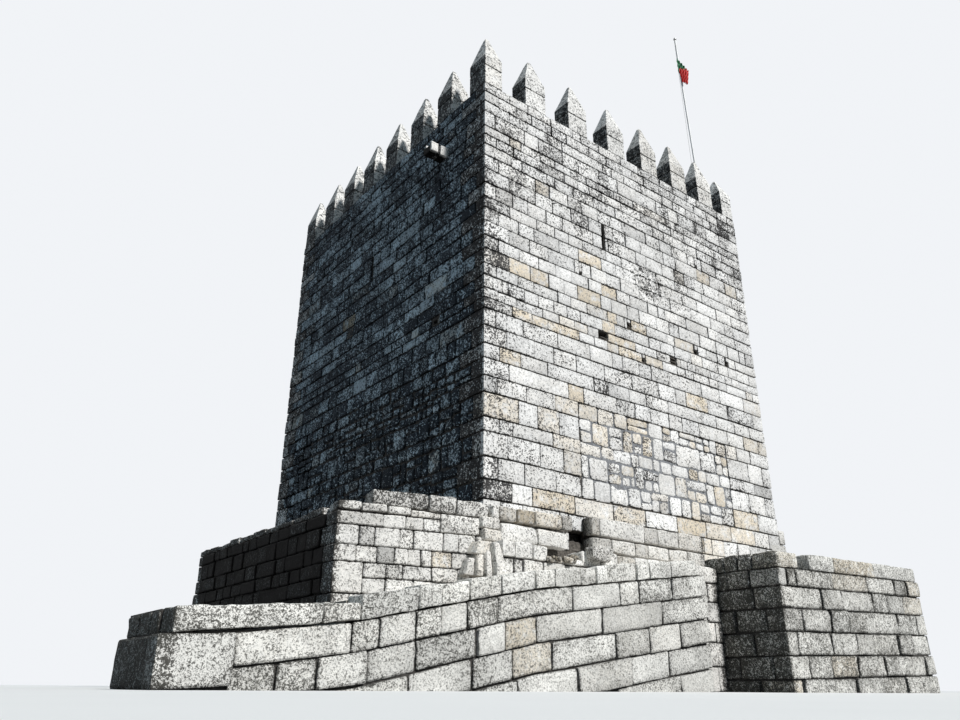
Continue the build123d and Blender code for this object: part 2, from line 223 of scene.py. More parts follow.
class Masonry:
    """Collects stones into one mesh, with a tone, warmth and lichen value at each point; on faces turned from
    the sun, tone and lichen also carry painted shade.
    """

    def __init__(self, growth=wall_growth):
        self.points, self.quads, self.marks, self.count = [], [], [], 0
        self.growth = growth

    def add(self, points, quads, tone=0.5, warm=0.0, lichen=None):
        points = np.asarray(points, float)
        if lichen is None:
            lichen = self.growth(points)
        marks = np.ones((len(points), 4))
        marks[:, 0], marks[:, 1], marks[:, 2] = tone, warm, np.clip(lichen, 0, 1)
        self.points.append(points)
        self.quads.append(np.asarray(quads) + self.count)
        self.marks.append(marks)
        self.count += len(points)

    def build(self, name, material, slot, replaces=(), sharp=24):
        """Makes the piece. Edges that turn by more than sharp degrees stay crisp."""
        mesh = marked_mesh(name, np.concatenate(self.points), np.concatenate(self.quads),
                           np.concatenate(self.marks))
        mesh.set_sharp_from_angle(angle=math.radians(sharp))
        add_piece(name, mesh, material, replaces)


def sheet_quads(nu, nw):
    """Quads of a grid of (nu + 1) by (nw + 1) points, numbered along u first."""
    i, j = np.meshgrid(np.arange(nu), np.arange(nw))
    a = (j * (nu + 1) + i).ravel()
    return np.stack([a, a + 1, a + nu + 2, a + nu + 1], 1)


def rim_order(nu, nw):
    """Indices round the edge of that grid, once, in order."""
    bottom = list(range(nu + 1))
    right = [(j + 1) * (nu + 1) - 1 for j in range(1, nw + 1)]
    top = [nw * (nu + 1) + i for i in range(nu - 1, -1, -1)]
    left = [j * (nu + 1) for j in range(nw - 1, 0, -1)]
    return bottom + right + top + left


def marks_between(start, end, edge, cell):
    """Grid lines of a stone: its two ends, a narrow edge at each, and cells between."""
    length = end - start
    count = max(1, round((length - 2 * edge) / cell))
    return [start] + [start + edge + (length - 2 * edge) * k / count for k in range(count + 1)] + [end]


class Path:
    """A line in plan that a masonry face follows, walked with the outside on the right."""

    def __init__(self, points, closed=False):
        points = [np.array(p, float) for p in points]
        if closed:
            points.append(points[0])
        self.points = np.array(points)
        step = np.diff(self.points, axis=0)
        length = np.hypot(step[:, 0], step[:, 1])
        self.along = step / length[:, None]
        self.out = np.stack([self.along[:, 1], -self.along[:, 0]], 1)
        self.knots = np.concatenate([[0], np.cumsum(length)])
        self.closed = closed

    def place(self, u, d):
        """Points at distance u along the line and d outside it, mitred at its corners."""
        u = np.asarray(u, float)
        total = self.knots[-1]
        sides = len(self.along)
        if self.closed:
            u = np.where(u < 0, u + total, u)
            u = np.where(u > total + 1e-9, u - total, u)
        i = np.clip(np.searchsorted(self.knots, u, side="right") - 1, 0, sides - 1)
        flat = self.points[i] + self.along[i] * (u - self.knots[i])[:, None]
        normal = self.out[i].copy()
        for k, knot in enumerate(self.knots):
            at = np.abs(u - knot) < 1e-6
            before, after = k - 1, k
            if self.closed and k in (0, sides):
                before, after = sides - 1, 0
            if at.any() and 0 <= before < sides and 0 <= after < sides:
                n1, n2 = self.out[before], self.out[after]
                normal[at] = (n1 + n2) / (1 + n1 @ n2)
        return flat + normal * np.asarray(d, float)[:, None]


# Stones

# What a face stone's look says where nothing else is told, in metres:
# joint, worn, edge: the upright joint, how far the stone's rim is worn back and how wide that rim is
# rough, swell, cell: the relief of its face, how far its middle swells, the grid that it is made of
# shake, nibble, rounding: how far its corners wander, how ragged its outline is, how round its corners are
# proud, step, recess: how far it stands out, by how much stones differ in that, how deep its sides run in
# rim, blotch, lift: how dark its rim is, by how much stones differ in lichen, how much more of it they have
# worn_away: whether the weathered patch eats into it
FACE = {"joint": 0.012, "rough": 0.006, "worn": 0.007, "edge": 0.014, "cell": 0.125, "shake": 0.004,
        "nibble": 0.004, "rounding": 0.006, "proud": 0.0, "step": 0.005, "swell": 0.002, "recess": 0.06,
        "rim": 1.0, "blotch": 0.10, "lift": 0.0, "worn_away": False}
# The same for a whole block, with the slope of its end and the painted shade on its other faces
BLOCK = {"joint": 0.014, "rough": 0.008, "edge": 0.022, "cell": 0.16, "shake": 0.006, "proud": 0.0,
         "step": 0.008, "lift": 0.0, "end_lean": 0.0, "shade": 0.0}
# A corner of the path within this of a stone's end belongs to the next stone
CORNER_REACH = 0.06
SEEDS = 10000


def tone_of(middle, spread):
    """A stone's tone is drawn about a middle."""
    return lambda rng: min(0.66, max(0.0, rng.gauss(middle, spread)))


def warm_of(value):
    """Every stone has the same warmth."""
    return lambda rng, points: value


def warm_plain(rng, points):
    """One stone in twenty is warm."""
    return rng.uniform(0.2, 0.6) if rng.random() < 0.05 else rng.uniform(0, 0.1)


def face_columns(path, start, end, edge, cell):
    """Grid lines along a stone's face, three at each corner that it turns, and those corners."""
    corners = [k for k in path.knots if start + CORNER_REACH < k < end - CORNER_REACH]
    if path.closed and start < -CORNER_REACH and end > CORNER_REACH:
        corners.append(0.0)
    corners = sorted(set(corners))
    us = marks_between(start, end, edge, cell)
    for corner in corners:
        us = [u for u in us if abs(u - corner) > 0.05 or u in (start, end)]
        us += [corner - 0.014, corner, corner + 0.014]
    return np.array(sorted(us)), corners


def stone_face(out, path, u0, u1, w0, w1, rng, look, warp=None):
    """One wall stone: a rough front with nibbled edges, and its sides running back into the joint."""
    look = {**FACE, **look}
    joint = look["joint"]
    bed = look.get("bed", joint * 1.35)
    a0 = u0 + joint * rng.uniform(0.2, 0.8)
    a1 = u1 - joint * rng.uniform(0.2, 0.8)
    b0 = w0 + bed * rng.uniform(0.3, 0.7)
    b1 = w1 - bed * rng.uniform(0.3, 0.7)
    length, height = a1 - a0, b1 - b0
    if length < 0.05 or height < 0.04:
        return
    edge = min(look["edge"], 0.2 * min(length, height))
    us, corners = face_columns(path, a0, a1, edge, look["cell"])
    ws = np.array(marks_between(b0, b1, edge, look["cell"]))
    nu, nw = len(us) - 1, len(ws) - 1
    U, W = np.meshgrid(us, ws)
    s, t = (U - a0) / length, (W - b0) / height
    # The outline: skewed, nibbled, and rounded or chipped at its corners
    straight = 1 - np.isin(U, corners)
    skew = np.array([rng.uniform(-1, 1) for _ in range(4)]) * look["shake"]
    seed = rng.randrange(SEEDS)
    flat = np.stack([U.ravel(), W.ravel(), np.full(U.size, seed * 1.37)], 1)
    wobble_u = (look["nibble"] * noise(flat, 0.07, 7)).reshape(U.shape) * straight
    wobble_w = (look["nibble"] * noise(flat, 0.09, 8)).reshape(U.shape)
    close_side = np.maximum(ramp(s, 0.25, 0.0), ramp(s, 0.75, 1.0))
    close_bed = np.maximum(ramp(t, 0.3, 0.0), ramp(t, 0.7, 1.0))
    U = U + ((1 - s) * (skew[0] * (1 - t) + skew[1] * t)) * straight + wobble_u * close_side
    W = W + (1 - t) * skew[2] * (1 - s) + t * skew[3] * s + wobble_w * close_bed
    for i, j, du, dw in ((0, 0, 1, 1), (nu, 0, -1, 1), (0, nw, 1, -1), (nu, nw, -1, -1)):
        chipped = rng.random() < 0.10 and min(length, height) > 0.2 and look["rounding"] < 0.02
        r = look["rounding"] * rng.uniform(0.5, 2.0) * (4.0 if chipped else 1.0)
        U[j, i] += du * r
        W[j, i] += dw * r
    # How far each point stands out
    D = look["proud"] + rng.gauss(0, look["step"])
    D = D + (s - 0.5) * rng.gauss(0, 0.004) + (t - 0.5) * rng.gauss(0, 0.004)
    D = D + look["swell"] * (1 - (2 * s - 1) ** 4) * (1 - (2 * t - 1) ** 4)
    D = D + (look["rough"] * relief(flat, 0.2, 0.1, (1, 2))).reshape(U.shape)
    if look["worn_away"]:
        # Pits that run aslant, long and narrow
        slanted = [(U + 0.45 * W).ravel() / 0.048, (W - 0.45 * U).ravel() / 0.22, np.zeros(U.size)]
        slanted = np.stack(slanted, 1)
        pits = ramp(noise(slanted, 1.0, 61) + 0.5 * noise(slanted, 0.5, 62), -0.15, 0.30)
        D = np.maximum(D - 0.055 * worn_patch(U, W) * pits.reshape(U.shape), 0.006 - CORE_INSET)
    for border in (D[0, :], D[-1, :], D[:, 0], D[:, -1]):
        border -= look["worn"]
    for corner in corners:
        D[np.abs(U - corner) < 1e-6] -= look["worn"] * 0.4
    # The sides, from the outline back into the joint
    U, W, D = U.ravel(), W.ravel(), D.ravel()
    rim = rim_order(nu, nw)
    ring = np.arange(len(rim)) + U.size
    U = np.concatenate([U, U[rim]])
    W = np.concatenate([W, W[rim]])
    D = np.concatenate([D, np.full(len(rim), -look["recess"])])
    if warp is not None:
        W = W + warp(U, W)
    points = np.column_stack([path.place(U, D), W])
    following = np.roll(np.arange(len(rim)), -1)
    rim = np.array(rim)
    sides = np.stack([rim, ring, ring[following], rim[following]], 1)
    # Darker near its rim
    near = np.zeros((nw + 1, nu + 1))
    near[1, :] = near[-2, :] = near[:, 1] = near[:, -2] = 0.25
    near[0, :] = near[-1, :] = near[:, 0] = near[:, -1] = 1.0
    near = np.concatenate([near.ravel(), np.ones(len(rim))]) * look["rim"]
    lichen = out.growth(points) + rng.gauss(0, look["blotch"]) + look["lift"] + 0.30 * near
    tone = look["tone"](rng) - 0.40 * near
    out.add(points, np.concatenate([sheet_quads(nu, nw), sides]), tone, look["warm"](rng, points), lichen)


def box_corners(x, y, z):
    """The corners of an upright box between (low, high) pairs, in the order that hexa takes."""
    return [(x[i], y[j], z[k]) for k in (0, 1) for i, j in ((0, 0), (1, 0), (1, 1), (0, 1))]


def roughen(points, rough, wide, fine, rng):
    """Moves the points of a block so that its faces are uneven."""
    where = points + rng.randrange(SEEDS) * 0.731
    for axis in range(3):
        points[:, axis] += rough * relief(where, wide, fine, (10 + axis, 20 + axis))


def hexa(out, corners, rng, edge=0.02, cell=0.2, rough=0.008, tone=0.5, warm=0.0, lift=0.0, shade=0.0):
    """A whole weathered block between eight corners, the lower four first, each four in turn.

    With shade, all its faces but the one between the first two corners get painted shade: a lower tone and
    more lichen.
    """
    c = np.asarray(corners, float)
    size = np.array([max(np.linalg.norm(c[k] - c[0]), 1e-3) for k in (1, 3, 4)])
    e = np.minimum(edge, 0.3 * size)
    marks = [np.array(marks_between(0, s, min(edge, 0.3 * s), cell)) for s in size]
    nx, ny, nz = (len(m) - 1 for m in marks)
    I, J, K = np.meshgrid(range(nx + 1), range(ny + 1), range(nz + 1), indexing="ij")
    shell = (I == 0) | (I == nx) | (J == 0) | (J == ny) | (K == 0) | (K == nz)
    p = np.stack([marks[0][I[shell]], marks[1][J[shell]], marks[2][K[shell]]], 1)
    # Rounded edges
    core = np.clip(p, e, size - e)
    away = (p - core) / e
    norm = np.maximum(np.linalg.norm(away, axis=1), 1.0)
    p = core + away / norm[:, None] * e
    # From the straight block to the one between the corners
    t = p / size
    lower = (1 - t[:, 1:2]) * ((1 - t[:, 0:1]) * c[0] + t[:, 0:1] * c[1])
    lower = lower + t[:, 1:2] * ((1 - t[:, 0:1]) * c[3] + t[:, 0:1] * c[2])
    upper = (1 - t[:, 1:2]) * ((1 - t[:, 0:1]) * c[4] + t[:, 0:1] * c[5])
    upper = upper + t[:, 1:2] * ((1 - t[:, 0:1]) * c[7] + t[:, 0:1] * c[6])
    points = (1 - t[:, 2:3]) * lower + t[:, 2:3] * upper
    roughen(points, rough, 0.22, 0.09, rng)
    # Its six faces
    g = -np.ones(I.shape, int)
    g[shell] = np.arange(shell.sum())
    quads = []
    for face, turned in ((g[0], True), (g[nx], False), (g[:, 0], False), (g[:, ny], True), (g[:, :, 0], True),
                         (g[:, :, nz], False)):
        around = [face[:-1, :-1], face[1:, :-1], face[1:, 1:], face[:-1, 1:]]
        if turned:
            around = [around[k] for k in (0, 3, 2, 1)]
        quads.append(np.stack([v.ravel() for v in around], 1))
    # The faces that get the painted shade
    hidden = J[shell] > 1
    out.add(points, np.concatenate(quads), tone - shade * hidden, warm,
            out.growth(points) + lift + shade * hidden)


def merlon_stone(out, x, y, rings, rng, tone, warm, lift=0.0, slope=math.inf):
    """A whole weathered stone of level rectangles, each ring (height, half length, half depth).

    Its sides away from the sun carry painted shade, a lower tone and more lichen, less so above the height
    slope, where they lean back to the sun.
    """
    edge, cell = 0.010, 0.16
    sides = []
    for half in rings[0][1:]:
        count = max(2, round(2 * half / cell))
        sides.append([-1, -1 + edge / half, *[-1 + 2 * k / count for k in range(1, count)], 1 - edge / half])
    sx, sy = sides
    outline = [(s, -1) for s in sx] + [(1, s) for s in sy] + [(-s, 1) for s in sx] + [(-1, -s) for s in sy]
    flat = np.array(outline, float)
    corner = (np.abs(flat) > 0.999).all(1)
    levels = []
    for low, high in spans(rings):
        count = max(1, round((high[0] - low[0]) / cell))
        levels += [[a + (b - a) * (k / count) for a, b in zip(low, high)] for k in range(count)]
    levels = np.array([*levels, rings[-1]])
    m = len(flat)
    points = []
    for level, hx, hy in levels:
        pull = np.where(corner, 1 - 0.35 * edge / max(min(hx, hy), edge), 1.0)
        px, py = flat[:, 0] * hx * pull, flat[:, 1] * hy * pull
        points.append(np.column_stack([x + px, y + py, np.full(m, level)]))
    points = np.concatenate([*points, [[x, y, levels[0, 0]], [x, y, levels[-1, 0]]]])
    roughen(points, 0.005, 0.2, 0.08, rng)
    # Quads round the stone, then fans of them from the middle of its foot and of its head
    k = np.arange(m)
    following = (k + 1) % m
    round_it = np.column_stack([k, following, following + m, k + m])
    quads = [round_it + r * m for r in range(len(levels) - 1)]
    fan = np.column_stack([k[0::2], k[1::2], following[1::2]])
    middle = np.full((m // 2, 1), len(levels) * m)
    quads.append(np.hstack([middle, fan[:, ::-1]]))
    quads.append(np.hstack([middle + 1, fan + (len(levels) - 1) * m]))
    # Painted shade on the sides away from the sun, less on the slopes
    sunny = (flat[:, 1] < -0.999) & (np.abs(flat[:, 0]) < 0.999)
    turned = np.where(levels[:, 0] > slope, 0.12, 1.0)
    shade = np.append(np.outer(turned, ~sunny), [1.0, 0.0])
    seam = np.zeros(len(levels))
    seam[0] = 1.0
    seam[-1] = levels[-1, 0] <= slope
    seam = np.append(np.repeat(seam, m), [1.0, 0.0])
    out.add(points, np.concatenate(quads), tone - 0.36 * shade - 0.30 * seam, warm,
            out.growth(points) + lift + 0.44 * shade + 0.30 * seam)


# Materials

class Nodes:
    """A short way to write a node material."""

    def __init__(self, name):
        self.material = bpy.data.materials.new(name)
        self.material.use_nodes = True
        self.tree = self.material.node_tree
        self.shader = self.tree.nodes["Principled BSDF"]

    def add(self, kind, **values):
        """A node with its settings, and its inputs by in_ and their names."""
        node = self.tree.nodes.new(kind)
        for key, value in values.items():
            if key.startswith("in_"):
                node.inputs[key[3:].replace("_", " ")].default_value = value
            else:
                setattr(node, key, value)
        return node

    def feed(self, node, key, value):
        """Links an input to another node's output, or sets it to a number or a colour."""
        if isinstance(value, bpy.types.NodeSocket):
            self.tree.links.new(value, node.inputs[key])
        else:
            node.inputs[key].default_value = (*value, 1.0) if isinstance(value, tuple) else value

    def position(self, **mapping):
        """The place in the scene, stretched or turned where that is given."""
        where = self.add("ShaderNodeNewGeometry").outputs["Position"]
        if not mapping:
            return where
        node = self.add("ShaderNodeMapping", **mapping)
        self.feed(node, "Vector", where)
        return node.outputs[0]

    def stone_values(self):
        """The values that the mesh has at each point: tone, warmth and lichen."""
        stone = self.add("ShaderNodeAttribute", attribute_name="stone")
        parts = self.add("ShaderNodeSeparateColor")
        self.feed(parts, 0, stone.outputs["Color"])
        return parts.outputs

    def math(self, kind, *values, clamp=False):
        node = self.add("ShaderNodeMath", operation=kind, use_clamp=clamp)
        for key, value in enumerate(values):
            self.feed(node, key, value)
        return node.outputs[0]

    def mix(self, factor, a, b, blend="MIX"):
        node = self.add("ShaderNodeMix", data_type="RGBA", blend_type=blend)
        for key, value in ((0, factor), (6, a), (7, b)):
            self.feed(node, key, value)
        return node.outputs[2]

    def noise(self, where, scale, detail=4.0, roughness=0.6, distortion=0.0):
        node = self.add("ShaderNodeTexNoise", in_Scale=scale, in_Detail=detail, in_Roughness=roughness,
                        in_Distortion=distortion)
        self.feed(node, "Vector", where)
        return node.outputs["Fac"]

    def step(self, value, low, high):
        """0 below low, 1 above high, smooth between."""
        node = self.add("ShaderNodeMapRange", interpolation_type="SMOOTHSTEP", clamp=True)
        for key, given in enumerate((value, low, high)):
            self.feed(node, key, given)
        return node.outputs[0]

    def bump(self, height, distance):
        node = self.add("ShaderNodeBump", in_Strength=1.0, in_Distance=distance)
        self.feed(node, "Height", height)
        return node.outputs["Normal"]

    def done(self, colour, normal, roughness):
        for key, value in (("Base Color", colour), ("Normal", normal), ("Roughness", roughness)):
            if value is not None:
                self.feed(self.shader, key, value)
        return self.material


OCHRE = (0.72, 0.59, 0.40)


def darker(colour, share):
    return tuple(c * share for c in colour)


def granite(name, light, dark, soft=0.02, grit=0.55, size=1.0, depth=0.030, courses=False):
    """Weathered granite: pale stone, grey grain and dark lichen that cuts in where it grows, a little ochre.

    With courses it is drawn in blocks, for a face without stones of its own.
    """
    n = Nodes(name)
    where = n.position()
    tone, warm, lichen = (0.5, 0.0, 0.35) if courses else tuple(n.stone_values())[:3]
    fine = n.noise(where, 36 / size, 1)
    specks = n.noise(where, 15 / size, 1)
    mottle = n.noise(where, 5.5 / size, 2)
    stains = n.noise(where, 1.7)
    base = n.mix(n.step(stains, 0.40, 0.62), light, darker(light, 0.82))
    base = n.mix(n.math("MULTIPLY", warm, n.step(mottle, 0.25, 0.55)), base, OCHRE)
    grain = n.math("ADD", n.math("MULTIPLY", fine, 0.55), n.math("MULTIPLY", specks, 0.45))
    base = n.mix(n.math("MULTIPLY", n.step(grain, 0.44, 0.60), grit), base, darker(light, 0.42))
    level = n.math("ADD", n.math("MULTIPLY", grain, 0.68), n.math("MULTIPLY", mottle, 0.20))
    level = n.math("ADD", level, n.math("MULTIPLY", stains, 0.12))
    edge = n.math("MULTIPLY_ADD", lichen, -0.19, 0.625)
    growth = n.step(level, n.math("ADD", edge, -soft), n.math("ADD", edge, soft))
    strength = n.math("MULTIPLY_ADD", lichen, 0.20, 0.80, clamp=True)
    colour = n.mix(n.math("MULTIPLY", growth, strength), base, dark)
    # The tone darkens the stone: its own tone, and painted shade where a piece sets it low
    colour = n.mix(1.0, colour, n.math("MULTIPLY_ADD", tone, 0.80, 0.56), "MULTIPLY")
    if courses:
        along = n.add("ShaderNodeSeparateXYZ")
        n.feed(along, 0, where)
        flat = n.add("ShaderNodeCombineXYZ")
        n.feed(flat, 0, n.math("ADD", along.outputs[0], along.outputs[1]))
        n.feed(flat, 1, along.outputs[2])
        rows = n.add("ShaderNodeTexBrick", in_Scale=1.0, in_Mortar_Size=0.012, in_Brick_Width=0.58,
                     in_Row_Height=0.34)
        n.feed(rows, "Vector", flat.outputs[0])
        colour = n.mix(rows.outputs["Fac"], colour, dark)
    height = n.math("ADD", n.math("MULTIPLY", mottle, 0.5), n.math("MULTIPLY", grain, 0.5))
    n.feed(n.shader, "Specular IOR Level", 0.25)
    return n.done(colour, n.bump(height, depth), 0.93)


def mortar(name, light, dark):
    """Lumpy mortar or earth, darker in wide stains."""
    n = Nodes(name)
    where = n.position()
    lumps = n.noise(where, 22, 5, 0.7)
    colour = n.mix(n.step(lumps, 0.35, 0.68), dark, light)
    colour = n.mix(n.math("MULTIPLY", n.step(n.noise(where, 2.3), 0.4, 0.7), 0.45), colour, dark)
    return n.done(colour, n.bump(lumps, 0.02), 0.97)


GRANITE = granite("wall_granite", (0.95, 0.945, 0.93), (0.032, 0.031, 0.031), grit=0.58)
# The shaded wall's copy of the granite: bluer and darker, painted shade and sky light
SHADED = granite("shade_painted_granite", (0.76, 0.90, 1.0), (0.014, 0.022, 0.032), grit=0.28)
DRESSED = granite("merlon_granite", (0.90, 0.89, 0.865), (0.036, 0.038, 0.040), soft=0.035)
FOOT = granite("foot_granite", (0.95, 0.935, 0.90), (0.06, 0.057, 0.052), 0.04, 0.6, 0.60, 0.022)
KERB_STONE = granite("kerb_granite", (0.94, 0.93, 0.885), (0.075, 0.073, 0.064), 0.05, 0.72, 0.52, 0.022)
INSIDE = granite("inside_granite", (0.60, 0.58, 0.545), (0.10, 0.095, 0.09), courses=True)
JOINTS = mortar("dark_joints", (0.09, 0.083, 0.076), (0.025, 0.023, 0.021))
# The sunny wall's joints: a paler copy of the dark ones, for paler mortar and as painted light
SUNNY_JOINTS = mortar("sunny_joints", (0.19, 0.172, 0.15), (0.05, 0.045, 0.04))
POINTING = mortar("grey_pointing", (0.34, 0.35, 0.37), (0.15, 0.155, 0.165))
RUBBLE = mortar("rubble_earth", (0.42, 0.39, 0.34), (0.2, 0.18, 0.15))


# Tower walls

# Bed joints of the tower, from the sill down, which run round all four sides
BEDS = [
    13.80, 13.52, 13.21, 12.91, 12.47, 12.22, 11.94, 11.61, 11.24, 10.84, 10.45, 10.15, 9.79, 9.41, 9.08,
    8.69, 8.40, 8.08, 7.84, 7.59, 7.18, 6.76, 6.42, 6.03, 5.66, 5.13, 4.82, 4.30, 3.84, 3.44, 3.05, 2.67,
    2.25, 1.85, 1.42, 0.95, 0.50, 0.0,
]
# Bed over the front's lowest clear course, and that course's upright joints from the near corner
LOW_BED = 3.84
LOW_COURSE = [1.27, 2.47, 3.64, 4.70, 5.80, 6.90, 7.90, 8.90]

# The ring runs round the tower from the near corner, along the front first
RING = Path([(-HALF, -HALF), (HALF, -HALF), (HALF, HALF), (-HALF, HALF)], closed=True)
SIDE = 2 * HALF
# Where each side starts along it, and the height under which nothing of that side shows
SIDE_STARTS = {"front": 0, "right": 10, "rear": 20, "left": 30}
HIDDEN_BELOW = {"front": 2.67, "right": 4.0, "rear": 4.0, "left": 0.0}
# The two sides that meet at each corner, first the one that its stones belong to
CORNERS = {0: ("front", "left"), 10: ("front", "right"), 20: ("rear", "right"), 30: ("rear", "left")}

# Slits and lost stones of the walls: from, to along the ring, bottom, top, depth of the pocket
HOLES = {
    "front": [
        (3.835, 3.945, 10.45, 11.24, 0.30),
        (3.50, 3.84, 7.88, 8.06, 0.24),
        (6.20, 6.40, 7.90, 8.05, 0.18),
        (4.56, 4.70, 8.45, 8.57, 0.10),
        (7.24, 7.36, 8.44, 8.54, 0.10),
        (8.62, 8.74, 8.44, 8.55, 0.10),
        (5.05, 5.15, 7.64, 7.72, 0.09),
        (2.94, 3.05, 9.41, 9.49, 0.10),
        (7.68, 7.79, 11.24, 11.34, 0.10),
        (2.26, 2.88, 2.67, 3.10, 0.38),
    ],
    "left": [
        (4 * SIDE - 5.205, 4 * SIDE - 5.095, 10.45, 11.24, 0.30),
        (4 * SIDE - 2.02, 4 * SIDE - 1.72, 7.84, 8.02, 0.2),
    ],
}
# A hole taller than this is a slit, the others have a bottom and what is left of their stone
SLIT_LEAST = 0.7

DOOR_OUTER = DOOR_WIDTH / 2 + DOOR_RING
DOOR_SPRING = DOOR_FLOOR + DOOR_STRAIGHT
DOOR_TOP = DOOR_SPRING + DOOR_OUTER
DOOR_SILL = DOOR_FLOOR - 0.22
REAR_MID = 2.5 * SIDE

# Ochre stones of the sunny wall: distance from the near corner and height
OCHRE_SPOTS = (
    (1.03, 8.90), (1.66, 8.88), (1.04, 7.73), (1.39, 7.71), (2.01, 7.71), (3.61, 9.98), (4.03, 9.25),
    (4.12, 8.55), (4.35, 7.96), (4.56, 7.71), (5.12, 8.55), (2.76, 6.21), (6.78, 6.96),
)
# Pale stones of the shaded wall and its rusty one, likewise
PALE_SPOTS = ((0.88, 11.38), (1.91, 8.78), (2.66, 8.07))
RUSTY_SPOT = (6.1, 9.3)


def door_gap(w0, w1):
    """Half the gap that a course of the rear wall leaves for the doorway's ring."""
    if w1 < DOOR_SILL + 0.03 or w0 > DOOR_TOP - 0.03:
        return None
    rise = max(0.0, w0 - DOOR_SPRING) / (DOOR_TOP - DOOR_SPRING)
    return DOOR_OUTER * math.sqrt(1 - rise * rise)


def cut_course(start, end, mean, rng, before=()):
    """Stones between two places, with random joints that keep off those of the course above.

    Of fourteen tries, the first with no joint over another is taken, or else the one with the fewest.
    """
    length = end - start
    count = max(1, round(length / mean))
    if count == 1:
        return [(start, end)]
    best, best_score = None, math.inf
    for _ in range(14):
        sizes = [max(0.24 / mean, rng.lognormvariate(0, 0.32)) for _ in range(count)]
        joints = [start + length * sum(sizes[:k]) / sum(sizes) for k in range(count + 1)]
        score = sum(abs(j - b) < 0.09 for j in joints[1:-1] for b in before)
        if score < best_score:
            best, best_score = joints, score
        if score == 0:
            break
    return spans(best)


def cut_out(pieces, hole):
    """The rectangles (from, to, bottom, top) without what lies in the hole, slivers left out."""
    h0, h1, g0, g1 = hole
    left = []
    for p0, p1, q0, q1 in pieces:
        if h1 <= p0 + 0.01 or h0 >= p1 - 0.01 or g1 <= q0 + 0.01 or g0 >= q1 - 0.01:
            left.append((p0, p1, q0, q1))
            continue
        if h0 - p0 > 0.06:
            left.append((p0, h0, q0, q1))
        if p1 - h1 > 0.06:
            left.append((h1, p1, q0, q1))
        m0, m1 = max(p0, h0), min(p1, h1)
        if q1 - g1 > 0.05:
            left.append((m0, m1, g1, q1))
        if g0 - q0 > 0.05:
            left.append((m0, m1, q0, g0))
    return left


def bed_wave(u, w):
    """Beds aren't dead level: a slow wave, none at the wall head, the foot and the corners."""
    along = u % SIDE
    near = np.minimum(along, SIDE - along)
    fade = ramp(w, 13.6, 12.9) * ramp(w, 2.5, 3.2)
    wave = noise(np.column_stack([u, w * 0.35, np.zeros(len(u))]), 1.7, 31)
    return 0.022 * wave * fade * ramp(near, 0.1, 1.2)


def warm_front(rng, points):
    """Ochre stones: the marked ones, a few in a middle band, more in the mended lower middle."""
    a, z = points[0, 0] + HALF, points[:, 2].mean()
    if abs(a - 8.4) < 0.35 and 3.6 < z < 4.0:
        return 1.0
    if abs(a - 1.3) < 0.2 and 3.4 < z < 3.8:
        return 0.7
    chance = 0.02 + 0.20 * bump(z, 8.45, 0.85) * ramp(a, 0.2, 1.0) * ramp(a, 8.6, 6.4)
    chance += 0.34 * ramp(z, 6.3, 5.8) * ramp(a, 0.8, 1.8) * ramp(a, 9.5, 7.5)
    warmth = rng.uniform(0.2, 0.75) if rng.random() < chance else rng.uniform(0, 0.1)
    low, high = points.min(0), points.max(0)
    marked = any(low[0] < at - HALF < high[0] and low[2] < level < high[2] for at, level in OCHRE_SPOTS)
    return 0.72 if marked else warmth


FRONT_LOOK = {"tone": tone_of(0.54, 0.09), "warm": warm_front, "joint": 0.019, "bed": 0.031, "worn": 0.004,
              "edge": 0.012, "swell": 0.0}
# The front from the slit up, in its mended lower middle and round its weathered patch
HIGH_LOOK = {"tone": tone_of(0.50, 0.09), "rough": 0.009, "joint": 0.022, "nibble": 0.007}
MENDED_LOOK = {"joint": 0.040, "bed": 0.042, "edge": 0.03, "rounding": 0.035, "shake": 0.028, "worn": 0.010,
               "nibble": 0.014, "rim": 0.4, "blotch": 0.16}
PATCH_LOOK = {"worn_away": True, "cell": 0.034, "joint": 0.016, "bed": 0.022}
# The shaded wall: its low tone is painted shade
LEFT_LOOK = {"tone": tone_of(0.34, 0.10), "warm": warm_plain, "joint": 0.022, "bed": 0.032, "rough": 0.012,
             "worn": 0.010, "blotch": 0.13}
# The shaded wall's pale stones, its rusty one and its rough lower part
PALE_LOOK = {"tone": tone_of(0.56, 0.02), "lift": -0.42, "rough": 0.02, "warm": warm_of(0.35)}
RUSTY_LOOK = {"tone": tone_of(0.12, 0.03), "lift": -0.05, "warm": warm_of(0.9)}
ROUGH_LOOK = {"joint": 0.04, "bed": 0.04, "edge": 0.035, "rounding": 0.035, "shake": 0.018, "rough": 0.020,
              "worn": 0.018, "nibble": 0.012}
HIDDEN_LOOK = {"tone": tone_of(0.48, 0.09), "warm": warm_plain, "joint": 0.020, "bed": 0.03, "rough": 0.009,
               "worn": 0.005}
CORNER_LOOK = {"warm": warm_plain, "rough": 0.005, "worn": 0.006, "joint": 0.014, "edge": 0.014,
               "tone": tone_of(0.5, 0.1)}


